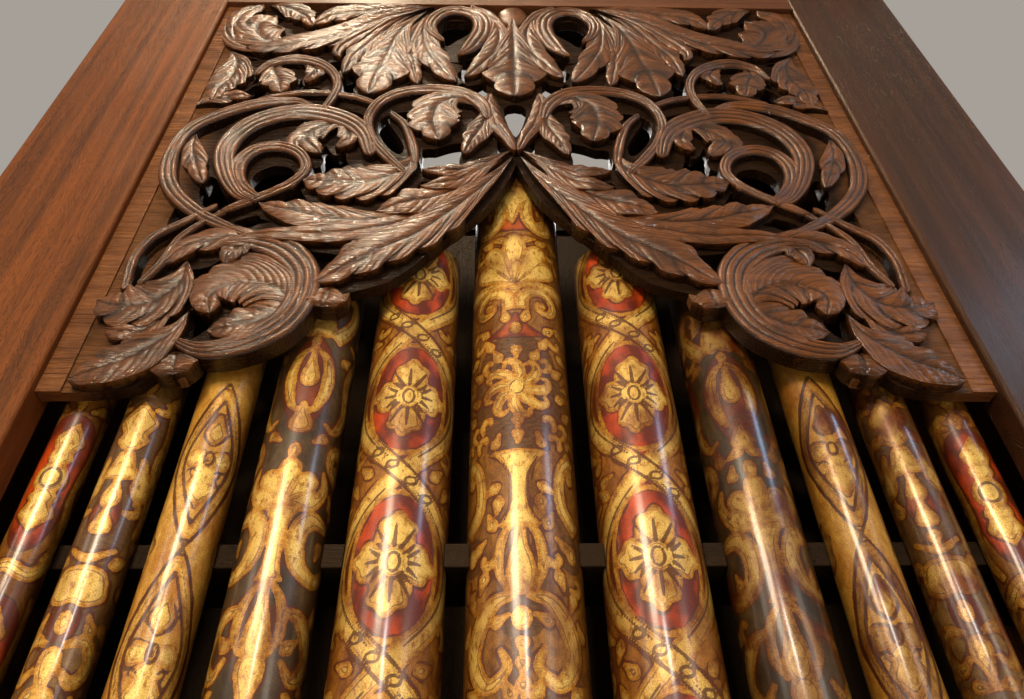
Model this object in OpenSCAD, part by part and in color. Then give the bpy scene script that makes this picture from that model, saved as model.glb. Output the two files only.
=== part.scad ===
// One bay of a pipe organ case: a flat of eleven front pipes between two oak
// posts, under a carved and pierced oak pipe shade.
// Axes: the front faces -Y, X runs to the right, Z is up. The origin is on the
// floor, under the middle of the whole with its cornice.

/* [Case] */
// Clear width between the two front posts
opening_w = 1310; // [1280:1:1400]
// Width of a front post
post_w = 235; // [200:1:260]
// Thickness of a front post
post_t = 50; // [44:1:60]
// Chamfer on the front arrises of a post
post_chamfer = 4; // [2:0.5:8]
// Depth of the case, from the post fronts to the back
case_d = 560; // [530:1:640]
// Side of a square back post
back_post_w = 60; // [54:1:72]
// Thickness of the base, side and back rails
rail_t = 36; // [30:1:42]
// Height of a side or back rail
rail_h = 90; // [70:1:110]
// Thickness of a framed panel
panel_t = 18; // [12:1:24]
// Height of the middle side rails above the floor
mid_rail_z = 1500; // [1300:1:1600]

/* [Stand of the pipes] */
// Height of the toe board's upper face
toe_z = 300; // [280:1:340]
// Thickness of the toe board
toe_t = 36; // [30:1:44]
// Depth of the toe board
toe_d = 250; // [235:1:280]
// Thickness of the rail under the toe board's back edge
toe_rail_t = 40; // [30:1:50]
// Height of the impost moulding
impost_h = 75; // [60:1:90]
// Projection of the impost moulding
impost_out = 36; // [26:1:46]
// Height of the rack board above the floor
rack_z = 1634; // [1600:1:1680]
// Thickness of the rack board
rack_t = 32; // [24:1:40]
// Depth of the rack board
rack_d = 130; // [120:1:150]
// From the post fronts back to the rack board's front edge
rack_set = 90; // [84:1:96]
// Running gap between a pipe and its scallop in the rack board
rack_gap = 0.3; // [0.2:0.1:0.5]
// Height of a rack bracket
bracket_h = 60; // [50:1:80]
// Thickness of a rack bracket
bracket_t = 40; // [30:1:50]
// From a post's inner edge to its rack bracket, and from there to the board's end
bracket_set = 10; // [5:1:20]

/* [Front pipes] */
// Diameter of the centre pipe
centre_d = 150; // [146:1:154]
// Diameter of the second pipes, counted from the centre
second_d = 132; // [128:1:136]
// Diameter of the third pipes
third_d = 108; // [104:1:112]
// Diameter of the fourth pipes
fourth_d = 78; // [75:1:82]
// Diameter of the fifth pipes
fifth_d = 70; // [67:1:74]
// Diameter of the outermost pipes
outer_d = 60; // [58:1:64]
// Gap between a post and the outermost pipe
end_gap = 13; // [10:1:18]
// From the post fronts back to the fronts of the pipes
pipe_set = 45; // [42:1:60]
// Wall of a pipe
pipe_wall = 1.6; // [1.2:0.1:2.4]
// Height of the centre pipe's foot
foot_h = 270; // [240:1:300]
// How much longer each foot is than its inner neighbour
foot_step = 74; // [60:1:80]
// Radius of a pipe's toe
toe_r = 12; // [11:0.5:14]
// Straight length of a pipe's toe
toe_len = 10; // [8:1:16]
// Depth that a toe is seated in the toe board
seat_d = 6; // [4:1:9]
// Gap round a seated toe
seat_gap = 0.3; // [0.2:0.1:0.5]
// Radius of the wind hole in the toe board
wind_r = 8; // [6:0.5:9]
// Length of a pipe that the shade hides
pipe_lap = 84; // [70:1:95]
// Width of a mouth as a share of the pipe's diameter
mouth_share = 0.72; // [0.68:0.01:0.78]
// Height of a mouth as a share of its width
cut_share = 0.27; // [0.22:0.01:0.32]
// Thickness of a languid
languid_t = 4; // [3:0.5:6]
// Width of the slit between a languid and the lower lip
flue = 1.2; // [0.8:0.1:1.6]
// How far an ear stands out
ear_out = 12; // [8:1:16]
// Thickness of an ear
ear_t = 1.6; // [1.2:0.1:2.4]
// Diameter over which a pipe has ears
ear_from_d = 100; // [84:1:106]

/* [Pipe shade] */
// Height of the shade's lower corners above the floor
spring_z = 1850; // [1820:1:1900]
// Height of the shade
shade_h = 1110; // [1090:1:1140]
// Thickness of the pierced ground
ground_t = 20; // [16:1:24]
// Height of the carved stems on the ground
relief_t = 13; // [10:1:16]
// How far the carved leaves lie below the stems
leaf_drop = 4; // [2:0.5:6]
// From the post fronts back to the highest relief
shade_set = 3; // [1:0.5:6]
// Width of the plain margin beside a post
margin_w = 34; // [28:1:36]
// Rise of that margin above the ground
margin_rise = 3; // [2:0.5:5]

/* [Head of the case] */
// Height of the front head rail
head_h = 120; // [100:1:150]
// Height of the cornice
cornice_h = 150; // [130:1:170]
// Projection of the cornice
cornice_out = 80; // [60:1:95]
// Thickness of the cornice at its foot
cornice_t = 25; // [22:1:30]
// Thickness of the roof boards
roof_t = 18; // [14:1:24]
// Width of the gap in the roof and in the head of the back
light_w = 600; // [540:1:640]
// Depth of the roof in front of that gap
roof_front_d = 230; // [200:1:260]
// From the underside of the cornice down to the top of the back's middle panel
light_drop = 254; // [220:1:290]
// Width of a back stile
stile_w = 60; // [50:1:75]

/* [Hidden] */
$fn = 64;
pipe_ids = [for (i = [-5:5]) i];
sizes = [centre_d, second_d, third_d, fourth_d, fifth_d, outer_d];
half_w = opening_w / 2;
case_half = half_w + post_w;
front_y = (cornice_out - case_d) / 2;
back_y = front_y + case_d;
post_back_y = front_y + post_t;
base_h = toe_z - toe_t;
case_h = spring_z + shade_h + head_h;
shade_top = spring_z + shade_h;
light_z = case_h - light_drop;
light_half = light_w / 2;
pipe_y = front_y + pipe_set;
sum_d = centre_d + 2 * (second_d + third_d + fourth_d + fifth_d + outer_d);
pipe_gap = (opening_w - sum_d - 2 * end_gap) / 10;
ground_y = front_y + shade_set + relief_t;
side_inner = case_half - rail_t;
over = 1;

// The shade is drawn on a grid, x from the middle outwards and z from the lower
// corner upwards. Its outline ends in these corners, which are stretched to the
// opening, and all that is drawn within it is stretched with them.
outer_corners = [[655, 0], [655, 1110], [0, 1110]];
kx = half_w / outer_corners[1][0];
kz = shade_h / outer_corners[1][1];

// Lower edge of the shade, from the middle outwards: the arch, the round
// of the lower scroll and the tail of the corner leaf
lower_edge = [
  [0, 520], [12, 478], [35, 422], [62, 382], [92, 344], [126, 304], [175, 240],
  [204, 212], [240, 197], [280, 184], [308, 176], [318, 136], [326, 112], [344, 92],
  [366, 74], [396, 61], [440, 53], [500, 56], [507, 32], [522, 12], [550, 3], [600, 0]
];
// The half window on the middle line, from its top down
window_edge = [[0, 716], [14, 712], [22, 700], [20, 670], [13, 636], [5, 612], [0, 604]];

// The openings cut right through one half of the shade
piercings = [
  // Eye of the upper volute
  [[162, 1035], [150, 1058], [125, 1065], [98, 1055], [92, 1025], [100, 998], [125, 970],
   [144, 946], [158, 970], [165, 1000]],
  // Crescent beside the upper leaves
  [[300, 1056], [350, 1022], [398, 1007], [424, 1022], [416, 1058], [404, 1078], [422, 1080],
   [436, 1030], [442, 985], [456, 958], [443, 937], [400, 954], [350, 975], [316, 1008]],
  [[268, 998], [284, 994], [306, 958], [312, 938], [300, 940], [274, 978]],
  // Crescent in the corner curl
  [[516, 1058], [536, 1036], [552, 1046], [568, 1030], [568, 985], [558, 960], [548, 936],
   [562, 942], [578, 970], [590, 1000], [590, 1030], [575, 1055], [548, 1072]],
  [[577, 897], [560, 888], [538, 878], [556, 872], [576, 863], [573, 880]],
  // Round the small upper ring
  [[531, 780], [526, 828], [515, 855], [485, 873], [450, 879], [412, 868], [430, 862],
   [460, 858], [488, 845], [505, 825], [518, 798]],
  [[400, 867], [375, 875], [354, 886], [354, 864], [364, 840], [370, 820], [380, 836], [390, 855]],
  [[567, 748], [566, 724], [548, 720], [530, 700], [512, 700], [494, 708], [498, 740], [500, 780],
   [514, 782], [530, 772], [548, 744]],
  [[436, 806], [430, 782], [415, 772], [400, 775], [382, 752], [385, 736], [420, 733], [450, 735],
   [437, 752], [438, 780]],
  // Long slot between the ring and the hanging leaves
  [[275, 926], [285, 898], [304, 864], [317, 834], [326, 808], [320, 790], [326, 766], [318, 746],
   [322, 728], [346, 728], [350, 756], [354, 786], [358, 802], [346, 814], [325, 838],
   [304, 866], [288, 898]],
  [[314, 724], [290, 728], [268, 730], [257, 746], [252, 762], [240, 750], [229, 756], [220, 782],
   [212, 794], [216, 762], [236, 738], [250, 718], [268, 705], [295, 707]],
  [[466, 701], [440, 710], [405, 715], [381, 711], [385, 698], [396, 685], [416, 689], [440, 694]],
  [[350, 696], [320, 687], [296, 676], [284, 662], [282, 616], [290, 612], [310, 634], [332, 654],
   [365, 665], [358, 682]],
  [[576, 671], [550, 686], [524, 694], [530, 680], [550, 674]],
  // Between the two turns of the large scroll
  [[530, 656], [552, 642], [575, 626], [593, 604], [606, 578], [614, 550], [618, 522], [607, 530],
   [601, 560], [590, 588], [571, 611], [550, 628]],
  [[552, 597], [536, 624], [514, 638], [489, 641], [496, 630], [511, 612], [522, 587], [536, 592]],
  // Eye of the inner ring
  [[262, 628], [260, 658], [244, 677], [215, 687], [192, 683], [174, 674], [180, 661], [200, 658],
   [222, 665], [246, 658], [234, 630], [220, 602], [208, 570], [212, 547], [226, 554], [248, 586]],
  // Beside the leaf head
  [[172, 562], [150, 564], [132, 574], [112, 582], [98, 580], [101, 550], [104, 528], [98, 510],
   [130, 502], [170, 496], [171, 530]],
  [[35, 597], [22, 588], [5, 579], [14, 560], [36, 536], [34, 560]],
  // Under the upper leaves
  [[168, 790], [157, 780], [135, 770], [118, 775], [115, 787], [103, 796], [97, 784], [75, 791],
   [58, 804], [56, 756], [48, 730], [48, 700], [58, 716], [80, 735], [110, 745], [150, 750],
   [180, 744], [210, 739], [229, 730], [220, 752], [206, 772], [196, 758], [180, 757], [172, 776]],
  [[150, 881], [118, 878], [88, 892], [82, 862], [88, 830], [93, 808], [100, 800], [112, 812],
   [118, 834], [110, 842], [108, 862], [122, 872]],
  // Eye of the large scroll
  [[466, 475], [455, 495], [435, 508], [410, 505], [395, 490], [393, 466], [400, 450], [415, 435],
   [438, 414], [455, 434], [465, 455]],
  [[540, 476], [527, 468], [515, 445], [500, 422], [478, 398], [484, 385], [500, 368], [514, 380],
   [534, 396], [545, 420], [550, 445], [548, 465]],
  [[577, 396], [578, 332], [566, 336], [552, 346], [532, 346], [528, 356], [545, 375], [562, 388]],
  [[498, 336], [484, 330], [464, 320], [440, 311], [460, 307], [490, 302], [515, 293], [527, 282],
   [527, 296], [520, 310], [508, 326]],
  [[472, 353], [437, 371], [428, 362], [408, 354], [430, 348], [446, 337], [458, 345]],
  [[412, 396], [400, 420], [378, 440], [368, 424], [360, 410], [372, 401], [396, 397]],
  [[352, 572], [340, 550], [325, 540], [314, 560], [309, 530], [300, 500], [320, 485], [340, 476],
   [345, 466], [358, 464], [369, 476], [370, 498], [352, 508], [350, 530], [355, 550]],
  [[190, 421], [176, 446], [168, 466], [146, 463], [169, 443], [171, 428]],
  // Beside the thin stems and round the lower scroll
  [[532, 331], [556, 315], [576, 295], [588, 265], [594, 234], [591, 204], [583, 178], [577, 192],
   [583, 222], [583, 250], [577, 274], [566, 292], [546, 310]],
  [[576, 240], [560, 290], [545, 302], [540, 292], [545, 268], [550, 240], [556, 218], [568, 202],
   [576, 212]],
  [[525, 235], [500, 240], [480, 250], [463, 268], [460, 232], [440, 231], [421, 251], [405, 246],
   [387, 235], [388, 208], [401, 217], [428, 220], [456, 220], [460, 206], [484, 204], [500, 189],
   [513, 205]],
  [[490, 152], [478, 148], [455, 145], [450, 135], [455, 115], [468, 100], [485, 92], [489, 115]],
  [[577, 98], [560, 95], [566, 78], [554, 70], [562, 61], [577, 62]],
  [[348, 290], [325, 281], [280, 276], [262, 262], [295, 238], [312, 222], [321, 232], [331, 255],
   [344, 275]],
  [[350, 318], [300, 333], [247, 351], [243, 340], [267, 329], [320, 317]]
];

// Outline of the small leaves under the shade, about their upper middle
tab_outline = [[-29, 6], [29, 6], [28, -14], [19, -24], [8, -31], [-6, -34], [-18, -32], [-25, -20]];
// Places of the small leaves on the grid
tab_places = [[288, 184], [482, 56]];

// Outline of the middle leaf, from its top down one side
crown_edge = [
  [0, 1104], [22, 1098], [38, 1078], [40, 1056], [30, 1036], [22, 1000], [24, 940], [30, 880],
  [44, 830], [57, 790], [54, 764], [38, 754], [30, 736], [16, 728], [0, 724]
];

// Carved stems of one half: the points of each one's middle line, and its widths
// spread evenly along that line
stems = [
  [[[150, 940], [176, 980], [182, 1030], [156, 1078], [112, 1086], [76, 1052], [72, 990], [92, 930]],
    [12, 26, 30, 34, 34, 34, 34, 22]],
  [[[376, 650], [360, 700], [354, 756], [372, 810], [410, 846], [460, 858], [504, 836], [524, 790]],
    [14, 18, 18, 20, 26, 32, 22, 12]],
  [[[270, 694], [320, 720], [400, 733], [456, 722], [500, 704]], [14, 14, 14, 14, 10]],
  [[[196, 470], [240, 530], [268, 580], [280, 640], [264, 700], [220, 738], [160, 748], [104, 736],
    [66, 696], [52, 640]], [16, 20, 20, 20, 22, 26, 30, 32, 30, 16]],
  [[[238, 662], [214, 632], [198, 590], [186, 540], [180, 500]], [14, 16, 18, 20, 14]],
  [[[436, 306], [480, 330], [530, 362], [578, 410], [606, 460], [618, 530], [606, 604], [560, 654],
    [500, 690], [430, 700], [384, 676]], [12, 22, 26, 28, 30, 26, 26, 28, 30, 24, 12]],
  [[[262, 520], [282, 590], [322, 636], [390, 662], [456, 650], [506, 606], [524, 540], [508, 470],
    [474, 410], [440, 386]], [22, 34, 44, 50, 46, 44, 40, 34, 26, 12]],
  [[[430, 390], [460, 414], [482, 450], [490, 486]], [14, 20, 26, 28]],
  [[[478, 440], [492, 492], [474, 536], [434, 550], [392, 530], [372, 486], [388, 444], [440, 398],
    [490, 362]], [22, 30, 28, 26, 22, 20, 18, 16, 12]],
  [[[500, 380], [548, 334], [584, 300], [598, 250], [590, 180]], [12, 14, 16, 16, 14]],
  [[[470, 286], [420, 292], [370, 272], [334, 226], [328, 166], [350, 112], [400, 76], [450, 66],
    [494, 84]], [14, 40, 50, 48, 46, 44, 40, 30, 12]]
];
// Carved leaves of one half, from root to tip in the same way
leaves = [
  [[[170, 1090], [190, 1050], [196, 980], [180, 900], [150, 830], [122, 786]], [24, 34, 44, 60, 54, 20]],
  [[[206, 1080], [234, 1020], [256, 940], [268, 850], [290, 730]], [20, 48, 76, 108, 34]],
  [[[220, 1090], [280, 1050], [356, 985], [420, 940], [500, 905], [560, 900]], [24, 50, 64, 66, 60, 20]],
  [[[540, 904], [584, 926], [612, 990], [606, 1060], [576, 1100]], [40, 48, 44, 44, 30]],
  [[[480, 850], [492, 820], [476, 780], [462, 734]], [32, 60, 64, 18]],
  [[[600, 896], [574, 850], [572, 800], [586, 740], [590, 704]], [30, 62, 66, 54, 18]],
  [[[76, 694], [110, 716], [146, 694], [156, 640], [144, 576]], [40, 66, 84, 84, 22]],
  [[[300, 636], [360, 616], [388, 576], [356, 534]], [24, 50, 56, 14]],
  [[[182, 544], [196, 490], [250, 448], [312, 440], [368, 448]], [26, 58, 84, 80, 22]],
  [[[16, 520], [40, 466], [96, 390], [160, 318], [236, 258], [308, 200]], [20, 44, 60, 70, 66, 20]],
  [[[64, 466], [120, 420], [180, 392], [232, 368]], [22, 52, 64, 16]],
  [[[174, 360], [250, 346], [320, 352], [380, 366], [430, 384]], [22, 46, 58, 54, 14]],
  [[[334, 154], [372, 190], [424, 196], [458, 170], [452, 136]], [40, 80, 84, 60, 18]],
  [[[516, 246], [514, 200], [540, 160], [584, 146], [616, 156]], [32, 62, 82, 76, 24]],
  [[[486, 136], [496, 96], [540, 52], [574, 28], [604, 14]], [22, 46, 66, 58, 20]]
];

// Point on a smooth curve through four points, between the middle two
function spline(a, b, c, d, t) =
  0.5 * (2 * b + (c - a) * t + (2 * a - 5 * b + 4 * c - d) * t * t
    + (3 * b - a - 3 * c + d) * t * t * t);
// Closed curve through the points
function ring_curve(p, n) =
  let (m = len(p))
  [for (i = [0:m - 1], k = [0:n - 1])
    spline(p[(i + m - 1) % m], p[i], p[(i + 1) % m], p[(i + 2) % m], k / n)];
// Open curve through the points, with n steps between two of them
function open_curve(p, n) =
  let (m = len(p))
  concat(
    [for (i = [0:m - 2], k = [0:n - 1])
      spline(p[max(i - 1, 0)], p[i], p[i + 1], p[min(i + 2, m - 1)], k / n)],
    [p[m - 1]]);
// Outline of a strip along a curve. Each second width is narrowed to the share
// notch, which gives a leaf its lobes.
function strip_outline(p, widths, notch) =
  let (c = open_curve(p, 2), n = len(c) - 1, last = len(widths) - 1)
  let (along = [for (i = [0:n]) c[min(i + 1, n)] - c[max(i - 1, 0)]])
  let (half = [for (i = [0:n])
    let (a = last * i / n, j = min(floor(a), last - 1))
    (i % 2 == 1 ? notch : 1) * (widths[j] + (a - j) * (widths[j + 1] - widths[j])) / 2])
  concat(
    [for (i = [0:n]) c[i] + half[i] * [-along[i][1], along[i][0]] / norm(along[i])],
    [for (i = [n:-1:0]) c[i] - half[i] * [-along[i][1], along[i][0]] / norm(along[i])]);
function on_grid(p) = [for (q = p) [q[0] * kx, q[1] * kz]];
function reversed(p) = [for (i = [len(p) - 1:-1:0]) p[i]];
// Height of the arch's lower edge at a distance from the middle
function arch_z(x) = spring_z + kz * lookup(abs(x) / kx, lower_edge);

// Diameter, middle, foot and top of pipe i, counted from -5 at the left to 5
function pipe_size(i) = sizes[abs(i)];
function pipe_x(i) =
  i == 0 ? 0
  : sign(i) * (abs(pipe_x(abs(i) - 1)) + pipe_size(abs(i) - 1) / 2 + pipe_gap + pipe_size(i) / 2);
function mouth_z(i) = toe_z + foot_h + foot_step * abs(i);
function pipe_top(i) = arch_z(pipe_x(i)) + pipe_lap;

// A board from its two opposite corners
module board(a, b) {
  translate(a) cube(b - a);
}

module oak() {
  color("sienna") children();
}

module dark_oak() {
  color("saddlebrown") children();
}

module on_side(side) {
  if (side > 0) children();
  else mirror([1, 0, 0]) children();
}

// Front post, with small chamfers on its two front arrises
module post(side) {
  c = post_chamfer;
  oak() on_side(side) translate([half_w, front_y, 0]) linear_extrude(case_h)
    polygon([[0, c], [c, 0], [post_w - c, 0], [post_w, c], [post_w, post_t], [0, post_t]]);
}

module back_post(side) {
  oak() on_side(side)
    board([case_half - back_post_w, back_y - back_post_w, 0], [case_half, back_y, case_h]);
}

module base_rail_front() {
  oak() board([-half_w, front_y, 0], [half_w, front_y + rail_t, base_h]);
}

module base_rail_side(side) {
  oak() on_side(side)
    board([side_inner, post_back_y, 0], [case_half, back_y - back_post_w, base_h]);
}

module base_rail_back() {
  oak() board([-case_half + back_post_w, back_y - rail_t, 0],
    [case_half - back_post_w, back_y, base_h]);
}

// Moulding with a quarter round over a cove, planted across posts and base
module impost_moulding() {
  steps = 6;
  o = impost_out;
  h = impost_h;
  profile = concat(
    [[0, 0], [0.2 * o, 0]],
    [for (i = [0:steps]) [o * (0.26 + 0.4 * (1 - cos(90 * i / steps))),
      h * (0.08 + 0.4 * sin(90 * i / steps))]],
    [for (i = [0:steps]) [o * (0.72 + 0.28 * sin(90 * i / steps)),
      h * (0.54 + 0.3 * (1 - cos(90 * i / steps)))]],
    [[o, h], [0, h]]);
  oak() translate([-case_half, front_y, toe_z - h]) rotate([90, 0, 90])
    linear_extrude(2 * case_half) polygon([for (p = profile) [-p[0], p[1]]]);
}

// Toe board with a stepped wind hole for each pipe's toe
module toe_board() {
  dark_oak() difference() {
    board([-half_w, front_y, base_h], [half_w, front_y + toe_d, toe_z]);
    for (i = pipe_ids) translate([pipe_x(i), pipe_y + pipe_size(i) / 2, 0]) {
      translate([0, 0, toe_z - seat_d]) cylinder(r = toe_r + seat_gap, h = seat_d + over);
      translate([0, 0, base_h - over]) cylinder(r = wind_r, h = toe_t);
    }
  }
}

module toe_rail() {
  dark_oak() board([-side_inner, front_y + toe_d - toe_rail_t, base_h - rail_h],
    [side_inner, front_y + toe_d, base_h]);
}

// The outside of a pipe turned about its axis, or its inside where inset is the wall
module pipe_turned(i, inset, ends) {
  r = pipe_size(i) / 2;
  z0 = toe_z - seat_d;
  rotate_extrude()
    polygon([[0, z0 - ends], [toe_r - inset, z0 - ends], [toe_r - inset, z0 + toe_len],
      [r - inset, mouth_z(i)], [r - inset, pipe_top(i) + ends], [0, pipe_top(i) + ends]]);
}

// What is cut off the front of pipe i to flatten its lips, set back by inset
module lip_cut(i, inset) {
  r = pipe_size(i) / 2;
  chord = mouth_share * r;
  flat = r - sqrt(r * r - chord * chord);
  zm = mouth_z(i);
  cut = 2 * chord * cut_share;
  upper = 2.2 * r;
  lower = 1.7 * r;
  foot_r = r - (r - toe_r) * lower / (zm - toe_z + seat_d - toe_len);
  translate([-r, 0, 0]) rotate([90, 0, 90]) linear_extrude(2 * r)
    polygon([[-r - over, zm - lower], [-foot_r + inset, zm - lower], [-r + flat + inset, zm],
      [-r + flat + inset, zm + cut], [-r + inset, zm + cut + upper],
      [-r - over, zm + cut + upper]]);
}

// Metal front pipe: a thin shell with a conical foot, flattened lips, a mouth,
// a languid with its flue, a tuning slot behind, and ears on the larger pipes
module pipe(i) {
  r = pipe_size(i) / 2;
  chord = mouth_share * r;
  flat = r - sqrt(r * r - chord * chord);
  zm = mouth_z(i);
  cut = 2 * chord * cut_share;
  slot_w = 0.5 * r;
  slot_h = 2.4 * r;
  color("goldenrod") translate([pipe_x(i), pipe_y + r, 0]) {
    difference() {
      union() {
        difference() {
          pipe_turned(i, 0, 0);
          lip_cut(i, 0);
        }
        if (2 * r > ear_from_d) for (s = [-1, 1])
          translate([s * (chord - ear_t / 2) - ear_t / 2, -r + flat - ear_out, zm - 0.5 * cut])
            cube([ear_t, ear_out + pipe_wall, 2 * cut]);
      }
      difference() {
        pipe_turned(i, pipe_wall, over);
        lip_cut(i, pipe_wall);
        difference() {
          translate([0, 0, zm - languid_t]) cylinder(r = r, h = languid_t);
          lip_cut(i, pipe_wall + flue);
        }
      }
      translate([-chord + ear_t, -r - over, zm])
        cube([2 * (chord - ear_t), flat + pipe_wall + 2 * over, cut]);
      translate([-slot_w / 2, 0, pipe_top(i) - 1.4 * slot_h]) cube([slot_w, r + over, slot_h]);
    }
  }
}

// Board behind the pipes, scalloped to each one
module rack_board() {
  y0 = front_y + rack_set;
  x1 = half_w + bracket_t + 2 * bracket_set;
  dark_oak() difference() {
    board([-x1, y0, rack_z], [x1, y0 + rack_d, rack_z + rack_t]);
    for (i = pipe_ids)
      translate([pipe_x(i), pipe_y + pipe_size(i) / 2, rack_z - over])
        cylinder(r = pipe_size(i) / 2 + rack_gap, h = rack_t + 2 * over);
  }
}

// Brackets on the backs of the posts, under the ends of the rack board
module rack_brackets() {
  for (side = [-1, 1]) dark_oak() on_side(side) translate([half_w + bracket_set, post_back_y, 0])
    rotate([90, 0, 90]) linear_extrude(bracket_t)
      polygon([[0, rack_z - 2 * bracket_h], [0, rack_z], [rack_set + rack_d - post_t, rack_z],
        [rack_set + rack_d - post_t, rack_z - 0.5 * bracket_h]]);
}

// The whole outline of one half, without its openings
function shade_outline() = concat(window_edge, lower_edge, outer_corners);

// Turns a drawing on the shade's grid into a board standing in the opening,
// from depth y forwards by its thickness t
module upright(y, t) {
  translate([0, y, spring_z]) rotate([90, 0, 0]) linear_extrude(t) children();
}

// The pierced ground of one half, as one outline with holes
module shade_ground() {
  outline = on_grid(shade_outline());
  holes = [for (h = piercings) on_grid(ring_curve(h, 2))];
  points = [for (path = concat([outline], holes)) each path];
  starts = [for (i = 0, n = 0; i <= len(holes); n = n + len(i == 0 ? outline : holes[i - 1]), i = i + 1) n];
  counts = [for (path = concat([outline], holes)) len(path)];
  upright(ground_y + ground_t, ground_t)
    polygon(points, [for (i = [0:len(counts) - 1]) [for (k = [0:counts[i] - 1]) starts[i] + k]]);
}

module shade_half(side) {
  oak() on_side(side) union() {
    shade_ground();
    board([half_w - margin_w, ground_y - margin_rise, spring_z],
      [half_w, ground_y + over, shade_top]);
  }
}

// Strips of one half joined in one drawing
module strips(list, notch) {
  for (d = list) polygon(on_grid(strip_outline(d[0], d[1], notch)));
}

// The part of the drawing between the middle line and the plain margin
module carved_field() {
  square([half_w - margin_w, shade_h]);
}

// The carved stems on the ground of both halves
module shade_stems() {
  for (side = [-1, 1]) oak() on_side(side) upright(ground_y, relief_t)
    intersection() {
      strips(stems, 1);
      carved_field();
    }
}

// The carved leaves between the stems
module shade_leaves() {
  for (side = [-1, 1]) oak() on_side(side) upright(ground_y, relief_t - leaf_drop)
    difference() {
      intersection() {
        strips(leaves, 0.74);
        carved_field();
      }
      strips(stems, 1);
    }
}

module shade_middle_leaf() {
  half = on_grid(crown_edge);
  oak() upright(ground_y, relief_t)
    polygon(concat(half, reversed([for (p = half) if (p[0] > 0) [-p[0], p[1]]])));
}

// Small leaves nailed under the shade's lower edge
module shade_small_leaves() {
  for (side = [-1, 1], p = tab_places) oak() on_side(side) difference() {
    upright(ground_y + ground_t, ground_t)
      translate([p[0] * kx, p[1] * kz]) polygon(tab_outline);
    upright(ground_y + ground_t + over, ground_t + 2 * over) polygon(on_grid(shade_outline()));
  }
}

module head_rail() {
  oak() board([-half_w, front_y, shade_top], [half_w, post_back_y, case_h]);
}

// Cornice profile: how far out, and how far up, from the foot of the cornice
function cornice_profile() =
  let (o = cornice_out, h = cornice_h, n = 6)
  concat(
    [[-cornice_t, 0], [0.1 * o, 0], [0.1 * o, 0.11 * h]],
    [for (i = [0:n]) [o * (0.14 + 0.42 * (1 - cos(90 * i / n))), h * (0.13 + 0.34 * sin(90 * i / n))]],
    [[0.62 * o, 0.47 * h], [0.62 * o, 0.55 * h]],
    [for (i = [0:n]) [o * (0.66 + 0.27 * sin(90 * i / n)), h * (0.57 + 0.3 * (1 - cos(90 * i / n)))]],
    [[o, 0.87 * h], [o, h], [-cornice_t, h]]);

module cornice_front() {
  w = case_half + cornice_out;
  d = cornice_t + cornice_out;
  oak() intersection() {
    translate([-w, front_y, case_h]) rotate([90, 0, 90]) linear_extrude(2 * w)
      polygon([for (p = cornice_profile()) [-p[0], p[1]]]);
    translate([0, front_y, case_h - over]) linear_extrude(cornice_h + 2 * over)
      polygon([[-w, -cornice_out], [w, -cornice_out], [w - d, cornice_t], [d - w, cornice_t]]);
  }
}

module cornice_side(side) {
  w = case_half + cornice_out;
  d = cornice_t + cornice_out;
  oak() on_side(side) intersection() {
    translate([case_half, back_y, case_h]) rotate([90, 0, 0]) linear_extrude(case_d + cornice_out)
      polygon(cornice_profile());
    translate([0, 0, case_h - over]) linear_extrude(cornice_h + 2 * over)
      polygon([[w, front_y - cornice_out], [w, back_y], [w - d, back_y], [w - d, front_y + cornice_t]]);
  }
}

// Roof boards inside the foot of the cornice, open in the middle towards the back
module roof_boards() {
  x = case_half - cornice_t;
  dark_oak() difference() {
    board([-x, front_y + cornice_t, case_h], [x, back_y, case_h + roof_t]);
    board([-light_half, front_y + roof_front_d, case_h - over],
      [light_half, back_y + over, case_h + roof_t + over]);
  }
}

module side_rails(side) {
  y0 = post_back_y;
  y1 = back_y - back_post_w;
  oak() on_side(side) {
    board([side_inner, y0, mid_rail_z], [case_half, y1, mid_rail_z + rail_h]);
    board([side_inner, y0, case_h - rail_h], [case_half, y1, case_h]);
  }
}

module side_panels(side) {
  x0 = case_half - (rail_t + panel_t) / 2;
  y0 = post_back_y;
  y1 = back_y - back_post_w;
  oak() on_side(side) {
    board([x0, y0, base_h], [x0 + panel_t, y1, mid_rail_z]);
    board([x0, y0, mid_rail_z + rail_h], [x0 + panel_t, y1, case_h - rail_h]);
  }
}

module back_top_rails() {
  x0 = light_half + stile_w;
  x1 = case_half - back_post_w;
  dark_oak() {
    for (side = [-1, 1]) on_side(side)
      board([x0, back_y - rail_t, case_h - rail_h], [x1, back_y, case_h]);
    board([-light_half, back_y - rail_t, light_z - rail_h / 2], [light_half, back_y, light_z]);
  }
}

module back_stile(side) {
  dark_oak() on_side(side)
    board([light_half, back_y - rail_t, base_h], [light_half + stile_w, back_y, case_h]);
}

module back_panel(side) {
  y0 = back_y - (rail_t + panel_t) / 2;
  dark_oak() on_side(side) board([light_half + stile_w, y0, base_h],
    [case_half - back_post_w, y0 + panel_t, case_h - rail_h]);
}

module back_panel_middle() {
  y0 = back_y - (rail_t + panel_t) / 2;
  dark_oak() board([-light_half, y0, base_h],
    [light_half, y0 + panel_t, light_z - rail_h / 2]);
}

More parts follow.
